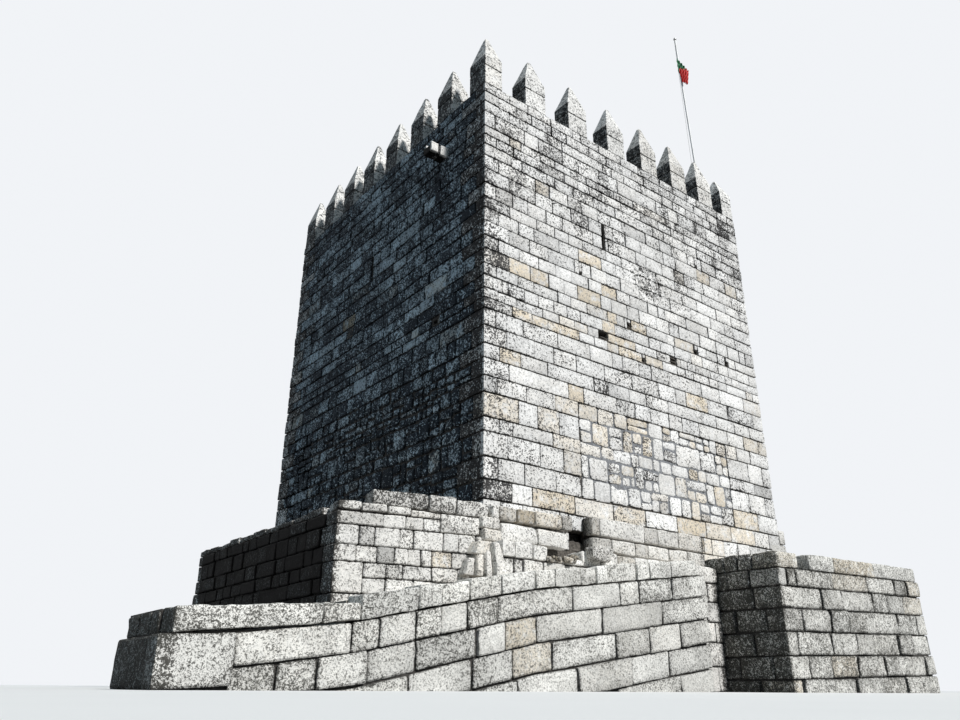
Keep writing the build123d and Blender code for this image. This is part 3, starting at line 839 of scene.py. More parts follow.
def wall_look(side, u, w):
    """How a stone of the tower looks, by its side and place, and whether it is among the small rough ones."""
    if side == "front":
        look = dict(FRONT_LOOK)
        small = 2.6 < u < 8.2 and 3.8 < w < 6.1
        if small:
            look.update(MENDED_LOOK)
        elif w > 10.4:
            look.update(HIGH_LOOK)
        if ((u - PATCH_AT[0]) / 1.1) ** 2 + ((w - PATCH_AT[1]) / 0.75) ** 2 < 1:
            look.update(PATCH_LOOK)
        return look, small
    if side == "left":
        look = dict(LEFT_LOOK)
        near = SIDE - u
        if any(abs(near - at) < 0.28 and abs(w - level) < 0.2 for at, level in PALE_SPOTS):
            look.update(PALE_LOOK)
        if abs(near - RUSTY_SPOT[0]) < 0.35 and abs(w - RUSTY_SPOT[1]) < 0.4:
            look.update(RUSTY_LOOK)
        if w < 6.8:
            look.update(ROUGH_LOOK)
        return look, w < 6.8
    return HIDDEN_LOOK, False


def mean_length(side, u, w):
    """The stones' mean length there. The hidden sides have that of the shaded wall's upper part."""
    if side == "front":
        if w > 9.3:
            return 0.66
        if w > 7.5:
            return 0.54
        if w > 6.0:
            return 0.78
        return 0.46 if 2.6 <= u <= 8.2 else 0.70
    return 0.40 if side == "left" and w <= 6.8 else 0.62


def course_stones(side, u0, u1, w0, w1, rng, before):
    """One side's stones in a course, between the stones at its corners."""
    stones = []
    for a, b in spans([u0, 2.7, 8.1, u1] if side == "front" and w0 < 6.0 else [u0, u1]):
        if b - a > 0.1:
            mean = mean_length(side, (a + b) / 2 - SIDE_STARTS[side], w0)
            stones += cut_course(a, b, mean, rng, before)
    if side == "front" and w1 == LOW_BED:
        stones = spans([u0, *[joint for joint in LOW_COURSE if joint - u0 > 0.2], u1])
    return stones


def lay(out, side, piece, rng):
    """Lays one stone of a side, or at times two or three in its place where they are small and rough."""
    p0, p1, q0, q1 = piece
    look, small = wall_look(side, (p0 + p1) / 2 - SIDE_STARTS[side], (q0 + q1) / 2)
    halved = rng.random() < (0.3 if side == "front" else 0.6)
    parts = [piece]
    if small and p1 - p0 > 0.2 and q1 - q0 > 0.36 and halved:
        split = q0 + (q1 - q0) * rng.uniform(0.36, 0.64)
        middle = p0 + (p1 - p0) * rng.uniform(0.35, 0.65)
        parts = [(p0, p1, q0, split), (p0, p1, split, q1)]
        if p1 - p0 > 0.42 and rng.random() < 0.6:
            parts = [(p0, middle, q0, split), (middle, p1, q0, split), (p0, p1, split, q1)]
    for part in parts:
        stone_face(out, RING, *part, rng, look, bed_wave)


def tower_stones():
    """Each side's stones, course by course from the top, the corners' stones long and short by turns."""
    rng = random.Random(11)
    outs = {side: Masonry() for side in SIDE_STARTS}
    before = {side: [] for side in SIDE_STARTS}
    for row, (w1, w0) in enumerate(spans(BEDS)):
        reach = {}
        for corner in CORNERS:
            longer, shorter = rng.uniform(0.62, 0.98), rng.uniform(0.3, 0.46)
            reach[corner] = (longer, shorter) if row % 2 else (shorter, longer)
        for corner, sides in CORNERS.items():
            if w1 <= min(HIDDEN_BELOW[side] for side in sides) + 0.02:
                continue
            look, _ = wall_look("left" if corner == 0 else sides[0], 1.0, 9.0)
            look = {**look, **CORNER_LOOK}
            back, ahead = reach[corner]
            stone_face(outs[sides[0]], RING, corner - back, corner + ahead, w0, w1, rng, look, bed_wave)
        for side, start in SIDE_STARTS.items():
            if w1 <= HIDDEN_BELOW[side] + 0.02:
                continue
            end = start + 10
            u0, u1 = start + reach[start][1], end - reach[end % 40][0]
            stones = course_stones(side, u0, u1, w0, w1, rng, before[side])
            before[side] = [stone[0] for stone in stones]
            holes = [hole[:4] for hole in HOLES.get(side, [])]
            gap = door_gap(w0, w1) if side == "rear" else None
            if gap:
                holes.append((REAR_MID - gap, REAR_MID + gap, w0, w1))
            for s0, s1 in stones:
                pieces = [(s0, s1, w0, w1)]
                for hole in holes:
                    pieces = cut_out(pieces, hole)
                for piece in pieces:
                    lay(outs[side], side, piece, rng)
    return outs


def broken_stone(out, a, b, c, e, depth):
    """What is left of a stone at the bottom of its pocket: low, set back and jagged."""
    rng = random.Random(round(1000 * (a + c)))
    look = {"tone": tone_of(0.30, 0.1), "warm": warm_of(0.4), "joint": 0.01, "rough": 0.03, "worn": 0.03,
            "edge": 0.03, "cell": 0.05, "shake": 0.05, "nibble": 0.03, "rim": 0.5, "recess": depth,
            "proud": -0.20 * depth}
    stone_face(out, RING, a, b, c, c + (e - c) * rng.uniform(0.40, 0.6), rng, look)


def joint_skin(side):
    """The recessed bed behind a side's stones, with a pocket wherever a stone is gone."""
    out = Masonry()
    holes, inset = HOLES[side], CORE_INSET
    start, end = SIDE_STARTS[side] + 0.05, SIDE_STARTS[side] + SIDE - 0.05
    us = []
    for a, b in spans(sorted({start, end, *[h[k] for h in holes for k in (0, 1)]})):
        count = max(1, round(b - a))
        us += [a + (b - a) * k / count for k in range(count)]
    ws = sorted({0.0, SILL, *[h[k] for h in holes for k in (2, 3)]})

    def quad(*corners):
        """A face between four corners: distance along the ring, height, depth."""
        u, w, d = np.array(corners, float).T
        out.add(np.column_stack([RING.place(u, -d), w]), [[0, 1, 2, 3]])

    for a, b in spans(us + [end]):
        for c, e in spans(ws):
            if not any(h[0] < (a + b) / 2 < h[1] and h[2] < (c + e) / 2 < h[3] for h in holes):
                quad((a, c, inset), (b, c, inset), (b, e, inset), (a, e, inset))
    for a, b, c, e, depth in holes:
        slit = e - c > SLIT_LEAST
        if not slit:
            broken_stone(out, a, b, c, e, depth)
        quad((a, c, depth), (a, e, depth), (a, e, inset), (a, c, inset))
        quad((b, c, inset), (b, e, inset), (b, e, depth), (b, c, depth))
        quad((a, c, inset), (b, c, inset), (b, c, depth), (a, c, depth))
        quad((a, e, depth), (b, e, depth), (b, e, inset), (a, e, inset))
        if not slit:
            quad((a, c, depth), (b, c, depth), (b, e, depth), (a, e, depth))
    return out


def pointing():
    """Mortar smeared over the joints of the mended part, lumpy and a little behind the stones."""
    start, end, low, high = 2.75, 8.15, 3.88, 6.0
    cell = 0.12
    nu, nw = round((end - start) / cell), round((high - low) / cell)
    U, W = np.meshgrid(np.linspace(start, end, nu + 1), np.linspace(low, high, nw + 1))
    u, w = U.ravel(), W.ravel()
    at = np.column_stack([u, np.zeros_like(u), w])
    inside = ramp(np.minimum(np.minimum(u - start, end - u), np.minimum(w - low, high - w)), 0.0, 0.35)
    patchy = ramp(noise(at, 0.8, 51) + 0.5 * noise(at, 0.3, 52), -0.35, 0.05)
    depth = 0.040 - 0.026 * inside * patchy + 0.004 * noise(at, 0.1, 53)
    out = Masonry()
    out.add(np.column_stack([RING.place(u, -depth), w]), sheet_quads(nu, nw))
    return out


def add_core(node, material, move):
    """A piece of the node's own shape, whose points a function has moved in behind its stones."""
    name = node.replace("_course", "") + "_core"
    mesh = NODES[node].data.copy()
    mesh.name = name
    co = np.empty(len(mesh.vertices) * 3, np.float32)
    mesh.vertices.foreach_get("co", co)
    co = co.reshape(-1, 3)
    move(co)
    mesh.vertices.foreach_set("co", co.ravel())
    mesh.update()
    add_piece(name, mesh, material, (node,))


def tower_core(node, material, front, side):
    """The core of a wall or a parapet, cut off at a distance from the tower's middle each way."""
    def move(co):
        co[:, 0] = np.clip(co[:, 0], -side, side)
        co[:, 1] = np.clip(co[:, 1], -front, front)
    add_core(node, material, move)


walls = tower_stones()
for side, material in (("front", GRANITE), ("left", SHADED), ("right", GRANITE), ("rear", GRANITE)):
    walls[side].build(side + "_wall_stones", material, "ashlar")
joint_skin("front").build("front_wall_joints", SUNNY_JOINTS, "ashlar")
pointing().build("front_wall_pointing", POINTING, "ashlar")
joint_skin("left").build("left_wall_joints", JOINTS, "ashlar")
DEEP = HALF - POCKET
SHALLOW = HALF - CORE_INSET
tower_core("front_wall", INSIDE, DEEP, SHALLOW - 0.01)
tower_core("left_wall", INSIDE, SHALLOW - 0.01, DEEP)
for node in ("right_wall", "rear_wall_under_door", "rear_wall_beside_door", "rear_wall_over_door"):
    tower_core(node, JOINTS, SHALLOW, SHALLOW)
for side in ("front", "rear", "left", "right"):
    tower_core(side + "_parapet", INSIDE, SHALLOW, SHALLOW)


# Battlements

# How far each merlon of the two visible walls stands off the even row, and the front's own width
LEFT_DRIFT = (0.110, 0.110, 0.130, 0.100, 0.020, -0.020)
FRONT_DRIFT = (0.0, 0.18, 0.33, 0.38, 0.37, 0.29)
FRONT_WIDTH = 0.70
# Height of the worn point at the right front corner, over its collar
WORN_POINT = 0.64
# The merlons at the corners count as a fifth side
CORNER = 4


def merlon_places():
    """Centre and side of each merlon: the front's, right's, rear's and left's rows, then the corners' own."""
    row = -HALF + MERLON_DEPTH / 2
    pitch = (SIDE - MERLON_WIDTH) / (MERLONS - 1)
    places = []
    for side in range(4):
        cos, sin = math.cos(side * math.pi / 2), math.sin(side * math.pi / 2)
        for k in range(1, MERLONS - 1):
            x = -HALF + MERLON_WIDTH / 2 + k * pitch
            if side == 0:
                x += FRONT_DRIFT[k - 1]
            if side == 3:
                x -= LEFT_DRIFT[MERLONS - 2 - k]
            places.append((x * cos - row * sin, x * sin + row * cos, side))
    return places + [(sx * (HALF - MERLON_DEPTH / 2), sy * (HALF - MERLON_WIDTH / 2), CORNER)
                     for sx in (-1, 1) for sy in (-1, 1)]


def merlons():
    """Each merlon is a block and, on it, a stone with a straight collar and a point."""
    blocks, caps = Masonry(), Masonry()
    rng = random.Random(23)
    joint = SILL + MERLON_BLOCK
    shoulder = joint + COLLAR
    for x, y, side in merlon_places():
        hx, hy = (FRONT_WIDTH if side == 0 else MERLON_WIDTH) / 2 - 0.006, MERLON_DEPTH / 2 - 0.006
        if side in (1, 3, CORNER):
            hx, hy = hy, hx
        taper = rng.uniform(0.97, 1.0)
        bx, by = hx * taper, hy * taper
        tone, warm = rng.gauss(0.52, 0.06), rng.uniform(0, 0.15)
        rings = [(SILL + 0.004, hx, hy), (SILL + 0.02, hx, hy), (joint - 0.020, bx, by),
                 (joint - 0.008, bx - 0.02, by - 0.02)]
        merlon_stone(blocks, x, y, rings, rng, tone, warm)
        top = shoulder + (WORN_POINT if side == CORNER and x > 0 > y else POINT)
        rings = [(joint + 0.010, hx - 0.02, hy - 0.02), (joint + 0.022, hx, hy), (shoulder, hx, hy),
                 (shoulder + 0.02, hx * 0.975, hy * 0.975), (top - 0.03, 0.045, 0.045),
                 (top - 0.006, 0.02, 0.02)]
        merlon_stone(caps, x, y, rings, rng, rng.gauss(0.54, 0.06), warm, 0.02, shoulder + 0.01)
    blocks.build("merlon_blocks", DRESSED, "dressed_stone",
                 ("front_merlons", "rear_merlons", "left_merlons", "right_merlons", "corner_merlons"), 28)
    caps.build("merlon_points", DRESSED, "dressed_stone", ("merlon_caps",), 28)


merlons()


# Foot of the keep

def whole_stone(out, path, u0, u1, w0, w1, depth, rng, look, warp=None):
    """A stone as deep as its course, from the path inwards, with a worn top."""
    look = {**BLOCK, **look}
    joint, shake = look["joint"], look["shake"]
    bed = look.get("bed", joint)
    a0, a1 = u0 + joint * rng.uniform(0.3, 0.8), u1 - joint * rng.uniform(0.3, 0.8)
    b0, b1 = w0 + bed * 0.5, w1 - bed * 0.5
    front = look["proud"] + rng.gauss(0, look["step"])
    corners = []
    for w in (b0, b1):
        for u, d in ((a0, front), (a1, front), (a1, -depth), (a0, -depth)):
            u += rng.uniform(-1, 1) * shake * 0.5 - look["end_lean"] * (w == b1) * (u == a1)
            lift = warp(np.array([u]), np.array([w]))[0] if warp else 0.0
            x, y = path.place([u], [d])[0]
            corners.append((x, y, w + lift + rng.uniform(-1, 1) * shake * (w == b1)))
    hexa(out, corners, rng, look["edge"], look["cell"], look["rough"], look["tone"](rng),
         look["warm"](rng, np.array([corners[0]])), look["lift"], look["shade"])


def dress(out, path, levels, rng, look, mean, warp=None, chosen=(), span=None, bond=(0.3, 0.62)):
    """Courses of face stones along an open path, bonded at its corners, at random or chosen joints."""
    start, end = span or (path.knots[0], path.knots[-1])
    corners = [k for k in path.knots if start + 0.1 < k < end - 0.1]
    before = []
    for row, (w1, w0) in enumerate(spans(levels)):
        marks = [start]
        for corner in corners:
            back, ahead = bond if row % 2 else bond[::-1]
            back, ahead = back * rng.uniform(0.85, 1.2), ahead * rng.uniform(0.85, 1.2)
            stone_face(out, path, corner - back, corner + ahead, w0, w1, rng, look, warp)
            marks += [corner - back, corner + ahead]
        marks.append(end)
        joints = []
        for a, b in zip(marks[0::2], marks[1::2]):
            if b - a < 0.12:
                continue
            if chosen:
                stones = spans([a, *[joint for joint in chosen if a + 0.08 < joint < b - 0.08], b])
            else:
                stones = cut_course(a, b, mean, rng, before)
            for s0, s1 in stones:
                stone_face(out, path, s0, s1, w0, w1, rng, look, warp)
            joints += [stone[0] for stone in stones]
        before = joints


def foot_core(node, path, inset, top=math.inf):
    """The core of masonry whose faces on a path, and top, lie behind its stones."""
    def move(co):
        plan = co[:, :2].copy()
        for start, out in zip(path.points[:-1], path.out):
            on = np.abs((plan - start) @ out) < 0.003
            co[on, :2] -= out * inset
        co[:, 2] = np.minimum(co[:, 2], top)
    add_core(node, JOINTS, move)


def rock(out, centre, size, rng, turn, lean, tone, warm, lift, rough=0.03, edge=0.06):
    """A loose rough block."""
    x, y, z = centre
    hx, hy, hz = (v / 2 for v in size)
    ca, sa = math.cos(turn), math.sin(turn)
    corners = []
    for dz in (-hz, hz):
        for dx, dy in ((-hx, -hy), (hx, -hy), (hx, hy), (-hx, hy)):
            dx, dy = dx * rng.uniform(0.82, 1.0), dy * rng.uniform(0.82, 1.0)
            tilt = lean * dx + rng.uniform(-0.1, 0.1) * hz
            corners.append((x + dx * ca - dy * sa, y + dx * sa + dy * ca, z + dz + tilt * (dz > 0)))
    hexa(out, corners, rng, edge, 0.12, rough, tone, warm, lift)


FOOT_LOOK = {"tone": tone_of(0.5, 0.14), "warm": warm_plain, "joint": 0.02, "bed": 0.026, "rough": 0.010,
             "worn": 0.012, "edge": 0.02, "nibble": 0.008, "shake": 0.008, "step": 0.012}
KERB_LOOK = {"tone": tone_of(0.51, 0.10), "warm": warm_plain, "joint": 0.022, "bed": 0.024, "rough": 0.014,
             "worn": 0.014, "edge": 0.03, "nibble": 0.008, "shake": 0.008, "step": 0.012, "cell": 0.14}
BURIED_LOOK = {**KERB_LOOK, "tone": tone_of(0.42, 0.1), "rough": 0.02, "step": 0.02, "shake": 0.014,
               "joint": 0.03, "bed": 0.03}

# Terrace: its path runs from the keep round the back and the outer side to the front, and to the keep again
TERRACE_TOP = 3.0
TERRACE_LEFT, TERRACE_BACK, TERRACE_NEAR = -7.92, 2.3, -5.25
TERRACE_SKEW = math.tan(math.radians(11.5))
TERRACE_OUT = (TERRACE_LEFT, TERRACE_NEAR + 2.92 * TERRACE_SKEW)
TERRACE = Path([(-HALF, TERRACE_BACK), (TERRACE_LEFT, TERRACE_BACK), TERRACE_OUT, (-HALF, TERRACE_NEAR)])
TERRACE_LEVELS = [2.88, 2.65, 2.31, 2.02, 1.77, 1.50, 1.10, 0.75, 0.38, 0.0]
TERRACE_THICK = 0.58
# Upright joints of the front's upper courses, from its left corner
TERRACE_JOINTS = [
    [0.85, 1.27, 1.61, 1.95], [0.42, 0.71, 1.17, 1.43, 2.01, 2.31, 2.66],
    [0.38, 0.76, 1.08, 1.33, 1.58, 1.79, 2.18, 2.63], [0.53, 0.93, 1.25, 1.79, 2.3], [0.53, 0.94, 1.45, 2.1],
]
# How far the stone that is two courses tall reaches to both sides of that corner
TALL_LEFT, TALL_RIGHT = 0.42, 0.53


def terrace():
    rng = random.Random(41)
    out = Masonry(foot_growth)
    side, front = TERRACE.knots[1:3]
    look = dict(FOOT_LOOK, joint=0.013, bed=0.018, rim=0.75)
    # The faces turned from the sun: their very low tone and extra lichen are painted shade
    shaded = dict(look, joint=0.02, bed=0.024, rim=1.0, lift=0.2,
                  tone=lambda r: max(-0.64, r.gauss(-0.54, 0.10)))
    for row, (w1, w0) in enumerate(spans(TERRACE_LEVELS)):
        if row < len(TERRACE_JOINTS):
            joints = [front + joint for joint in TERRACE_JOINTS[row]]
        else:
            joints = [stone[0] for stone in cut_course(front + 0.5, front + 2.98, 0.5, rng)]
        wrap = rng.uniform(0.3, 0.6)
        start = front - wrap
        if row == 3:
            stone_face(out, TERRACE, front - TALL_LEFT, front + TALL_RIGHT, TERRACE_LEVELS[5], w1, rng, look)
        if row in (3, 4):
            wrap = TALL_LEFT
            start = front + TALL_RIGHT
        least = front + (0.0 if row < 3 else TALL_RIGHT) + 0.05
        for a, b in spans([start, *[joint for joint in joints if joint > least], front + 2.97]):
            if row == 0 and a > front + 1.9:
                continue
            ochre = row == 2 and 1.7 < a - front < 2.0
            stone_face(out, TERRACE, a, b, w0, w1, rng, dict(look, warm=warm_of(0.55)) if ochre else look)
        for a, b in ((0.02, side - 0.35), (side + 0.3, front - wrap)):
            for s0, s1 in cut_course(a, b, 0.5, rng):
                stone_face(out, TERRACE, s0, s1, w0, w1, rng, shaded)
        stone_face(out, TERRACE, side - 0.35, side + 0.3, w0, w1, rng, look)
    # The top course rises a little towards the left corner. A tall stone and a narrow one end it at the keep
    head = dict(look, edge=0.022, rough=0.012, step=0.012, cell=0.11, lift=0.16)
    base, tall = TERRACE_LEVELS[:2]

    def lay_top(a, b, low, up, look=head):
        whole_stone(out, TERRACE, a, b, low, TERRACE_TOP + up, TERRACE_THICK, rng, look)

    for (a, b), up in zip(spans([0.0, 0.44, 0.92, 1.36, 1.94]), (0.075, 0.06, 0.04, 0.012)):
        lay_top(front + a, front + b, base + up * 0.5, up)
    lay_top(front + 1.94, front + 2.74, tall, 0.0, dict(head, edge=0.035))
    lay_top(front + 2.79, front + 2.975, tall, 0.03)
    for a, b in cut_course(side + 0.02, front - 0.6, 0.62, rng):
        lay_top(a, b, base, rng.uniform(-0.02, 0.04))
    for a, b in cut_course(0.02, side - 0.6, 0.6, rng):
        lay_top(a, b, base, 0.0)
    out.build("terrace_wall_stones", FOOT, "footing_stone")
    for node in ("terrace_front_wall", "terrace_side_wall"):
        foot_core(node, TERRACE, 0.055, base - 0.01)


def terrace_top_stones():
    """Three loose stones on the terrace's front, the left one the darkest."""
    rng = random.Random(43)
    out = Masonry(foot_growth)
    low, high = TERRACE_TOP + 0.01, TERRACE_TOP + 0.33
    front = TERRACE.knots[2]
    look = dict(FOOT_LOOK, edge=0.030, rough=0.018, step=0.0, shake=0.0, joint=0.0, cell=0.09)
    for a, b, w0, w1, tone, lift in ((0.63, 1.69, low + 0.03, high, 0.22, 0.46),
                                     (1.725, 2.235, low, high, 0.40, 0.28),
                                     (2.27, 2.915, low - 0.004, high - 0.03, 0.40, 0.28)):
        whole_stone(out, TERRACE, front + a, front + b, w0, w1, 0.5, rng,
                    dict(look, tone=tone_of(tone, 0.03), lift=lift))
    out.build("terrace_loose_stones", FOOT, "footing_stone", ("terrace_top_stones",))


# Footings in front: their lower and upper planes, and the lower one's top joints from the keep's corner
LOWER_PLANE = Path([(-HALF, -HALF), (-HALF, -5.55), (1.35, -5.55)])
UPPER_PLANE = Path([(-HALF, -HALF), (-HALF, -5.30), (1.35, -5.30)])
LOWER_LEVELS = [2.27, 1.85, 1.42, 1.0, 0.5, 0.0]
LOWER_TOP = 2.66
LOWER_JOINTS = [0.0, 0.33, 0.76, 1.13, 1.62, 2.10, 2.62, 3.10, 3.62, 4.02, 4.42, 5.10, 5.40, 6.34]


def footings():
    rng = random.Random(47)
    lower, upper = Masonry(foot_growth), Masonry(foot_growth)
    look = dict(FOOT_LOOK, rough=0.012, step=0.018, shake=0.012)
    start = LOWER_PLANE.knots[1]
    dress(lower, LOWER_PLANE, LOWER_LEVELS, rng, look, 0.5, span=(start - 0.5, LOWER_PLANE.knots[-1]))
    for a, b in spans(LOWER_JOINTS):
        drop = rng.uniform(0.0, 0.05) + (0.24 if 1.16 < b < 2.2 else 0.06 if b < 2.7 else 0)
        whole_stone(lower, LOWER_PLANE, start + a, start + b, LOWER_LEVELS[0], LOWER_TOP - drop, 0.55, rng,
                    dict(look, edge=0.04))
    lower.build("front_footing_lower_stones", FOOT, "footing_stone")
    foot_core("front_footing_lower", LOWER_PLANE, 0.06, LOWER_LEVELS[0] - 0.01)

    start = UPPER_PLANE.knots[1]

    def lay_upper(a, b, w0, w1, **more):
        whole_stone(upper, UPPER_PLANE, start + a, start + b, w0, w1, 0.30, rng, dict(look, **more))

    # Left of the gap: two big stones, and five on them that differ in tone and warmth
    for a, b in spans([0.21, 1.15, 1.98]):
        lay_upper(a, b, 2.60, 2.97, edge=0.075, rough=0.016, lift=0.02, tone=tone_of(0.5, 0.04))
    tones, warmths = (0.5, 0.2, 0.05, 0.35, 0.1), (0.1, 0.35, 0.8, 0.5, 0.2)
    for (a, b), tone, warm in zip(spans([0.0, 0.19, 0.63, 1.09, 1.80, 2.12]), tones, warmths):
        lay_upper(a, b, 3.0, 3.31 - rng.uniform(0.0, 0.03), edge=0.04, rough=0.018, lift=0.14,
                  tone=tone_of(tone, 0.03), warm=warm_of(warm))
    # Right of it: two courses, whose first stones are dark, with painted shade on all but their front
    for w0, w1, joints in ((2.67, 2.99, (2.62, 3.20, 3.94, 4.37, 5.06, 5.70, 6.34)),
                           (2.99, 3.40, (2.62, 2.87, 4.28, 4.74, 5.43, 6.34))):
        for a, b in spans(joints):
            tone = 0.2 if a < 2.8 or 3.9 < a < 4.3 else 0.44
            lay_upper(a, b, w0, w1 - rng.uniform(0, 0.03), edge=0.04, shade=0.6 if a < 2.7 else 0.0,
                      tone=tone_of(tone, 0.06), warm=lambda r, points: r.uniform(0.05, 0.3))
    upper.build("front_footing_upper_stones", FOOT, "footing_stone", ("front_footing_upper",))


def side_footing():
    """The footing that runs round the hidden sides."""
    rng = random.Random(53)
    out = Masonry(foot_growth)
    path = Path([(HALF, -HALF), (5.25, -HALF), (5.25, 5.25), (-HALF, 5.25), (-HALF, HALF)])
    base, top = 3.62, 4.0
    dress(out, path, [base, 3.25, 2.86, 2.50, 2.10, 1.72, 1.35, 0.92, 0.48, 0.0], rng, FOOT_LOOK, 0.62)
    marks = path.knots
    whole_stone(out, path, marks[0], marks[1], base, top, 0.25, rng, FOOT_LOOK)
    for a, b in ((marks[1] + 0.004, marks[2] - 0.25), (marks[2] + 0.004, marks[3] - 0.004)):
        for s0, s1 in cut_course(a, b, 0.66, rng):
            whole_stone(out, path, s0, s1, base, top - rng.uniform(0, 0.02), 0.25, rng, FOOT_LOOK)
    out.build("side_footing_stones", FOOT, "footing_stone")
    foot_core("side_footing", path, 0.055, base - 0.01)


# Kerb: upright joints of its two courses from the left corner, and how deep the beds under them lie
KERB_LEFT, KERB_FRONT, KERB_RIGHT, KERB_BACK = -10.97, -6.05, 0.20, -3.95
KERB_LENGTH = 11.17
KERB_UPPER = [0.115, 2.25, 2.87, 3.90, 4.35, 4.90, 5.58, 6.35, 6.83, 7.48, 7.89, 8.21, 9.06, 9.44, 10.13,
              11.15]
KERB_LOWER = [0.0, 1.0, 2.74, 3.20, 3.85, 4.33, 4.85, 5.50, 7.25, 8.52, 9.08, 10.08, 11.15]
KERB_DEPTHS = [0.0, -0.44, -0.90, -1.38, -1.88, -2.34]
KERB_COURSE = 0.35
KERB_THICK = 0.50
# Where the kerb's top steps up
KERB_STEP = 2.87
KERB_END = Path([(KERB_LEFT + KERB_THICK, KERB_BACK), (KERB_LEFT, KERB_BACK), (KERB_LEFT, KERB_FRONT)])
KERB = Path([(KERB_LEFT, KERB_BACK), (KERB_LEFT, KERB_FRONT), (KERB_RIGHT, KERB_FRONT), (KERB_RIGHT, -5.55)])


def kerb_top(along):
    """Height of the kerb's top at distances along its front: flatter at the left, with one step up."""
    low = 1.02 + (1.25 - 1.02) * along / KERB_STEP
    high = np.interp(along, [KERB_STEP, 6.31, KERB_LENGTH], [1.36, 2.01, 2.67])
    return np.where(along < KERB_STEP, low, high)


def kerb_bed(along):
    """Height of the bed between the kerb's two courses, which has no step."""
    return np.interp(along, [0.0, 0.95, KERB_STEP, 6.31, KERB_LENGTH], [0.67, 0.72, 0.96, 1.66, 2.32])


def kerb():
    rng = random.Random(59)
    corner = KERB.knots[1]

    def slope(u, w):
        """Lifts a course from its depth below the kerb's bed to its height, cut off at 0."""
        return np.maximum(kerb_bed(np.clip(u - corner, 0.0, KERB_LENGTH)) + w, 0.0) - w

    upper, lower, back = Masonry(foot_growth), Masonry(foot_growth), Masonry(foot_growth)
    look = dict(KERB_LOOK, shake=0.01, cell=0.12, lift=0.08)
    for a, b in spans(KERB_UPPER):
        left, right = kerb_top(np.array([a + 0.02, b - 0.02]))

        def one(u, w):
            """Sets the stone's top on the kerb's own slope and its foot on the bed."""
            top = left + (right - left) * ((u - corner - a) / (b - a))
            return np.where(w < -0.2, kerb_bed(u - corner) + KERB_COURSE, top)

        last = b > 11
        worn = rng.uniform(-0.02, 0.015)
        whole_stone(upper, KERB, corner + a, corner + b - 0.08 * last, -KERB_COURSE, worn, KERB_THICK, rng,
                    dict(look, end_lean=0.10 * last), one)
    upper.build("kerb_upper_stones", KERB_STONE, "kerb_stone", ("kerb_upper_course",))
    for row, (w1, w0) in enumerate(spans(KERB_DEPTHS)):
        joints = KERB_LOWER
        if row:
            joints = [0.94] + [stone[1] for stone in cut_course(0.94, 11.15, 0.95 + 0.1 * row, rng)]
        plain = BURIED_LOOK if row else KERB_LOOK
        for a, b in spans(joints):
            if kerb_bed(b - 0.05) + w1 < 0.08:
                continue
            stop = corner + b + (0.3 if b > 11.1 else 0.0)
            if a == 0:
                # The stone at the left corner reaches down to the lowest plane
                dark = dict(plain, tone=tone_of(0.40, 0.02), lift=0.16)
                stone_face(lower, KERB, corner - 0.45, stop, -0.68, w1, rng, dark, slope)
            else:
                stone_face(lower, KERB, corner + a, stop, w0, w1, rng, plain, slope)
    lower.build("kerb_lower_stones", KERB_STONE, "kerb_stone")
    foot_core("kerb_lower_course", KERB, 0.06)
    # The stones of its left end, turned from the sun: their low tone is painted shade
    inner = dict(look, tone=tone_of(0.16, 0.05), lift=0.1, joint=0.014, bed=0.018)
    for a, b in spans([0.115, 0.66, 1.22, 1.60]):
        whole_stone(back, KERB, a, b, 0.67, 1.02 - rng.uniform(0.0, 0.03), 0.5, rng, dict(inner, proud=-0.10))
    for a, b in spans([0.0, 0.78, 1.64]):
        stone_face(back, KERB, a, b, 0.0, 0.67, rng, inner)
    back.build("kerb_return_stones", KERB_STONE, "kerb_stone")
    foot_core("kerb_return", KERB_END, 0.06, 1.0)


# Platform at the right: its side, its front and the return at the far end
PLATFORM = Path([(1.35, -HALF), (1.35, -7.12), (7.70, -7.12), (7.70, -6.50)])
PLATFORM_LENGTH = 6.35
# Depths of its courses under its top, and the joints of the second one from the left corner
PLATFORM_DEPTHS = [-0.37, -0.75, -1.20, -1.68, -2.16, -2.62, -3.10]
PLATFORM_JOINTS = [-1.3, 0.64, 1.34, 2.17, 3.75, 5.1]


def platform():
    rng = random.Random(61)
    corner = PLATFORM.knots[1]
    upper, lower = Masonry(foot_growth), Masonry(foot_growth)

    def slope(u, w):
        """Lifts a course from its depth below the platform's top to its height, cut off at 0."""
        along = np.clip(u - corner, 0.0, PLATFORM_LENGTH)
        return np.maximum(2.86 + 0.17 * along / PLATFORM_LENGTH + w, 0.0) - w

    def lay_upper(a, b, top):
        look = dict(KERB_LOOK, edge=0.035, shake=0.01)
        whole_stone(upper, PLATFORM, a, b, PLATFORM_DEPTHS[0], top, 0.62, rng, look, slope)

    for a, b in spans([0.0, 0.17, 0.76, 1.12, 1.50]):
        lay_upper(a, b, 0.0)
    for a, b in ((0.0, 0.84), (1.28, 2.35), (2.35, 4.20), (4.20, 6.34)):
        lay_upper(corner + a, corner + b, rng.uniform(-0.02, 0.0))
    upper.build("platform_upper_stones", KERB_STONE, "kerb_stone", ("platform_upper_course",))
    chosen = [corner + joint for joint in PLATFORM_JOINTS]
    dress(lower, PLATFORM, PLATFORM_DEPTHS[:2], rng, KERB_LOOK, 0.9, slope, chosen)
    dress(lower, PLATFORM, PLATFORM_DEPTHS[1:], rng, BURIED_LOOK, 1.0, slope, bond=(0.4, 0.8))
    lower.build("platform_lower_stones", KERB_STONE, "kerb_stone")
    foot_core("platform_lower_course", PLATFORM, 0.06)


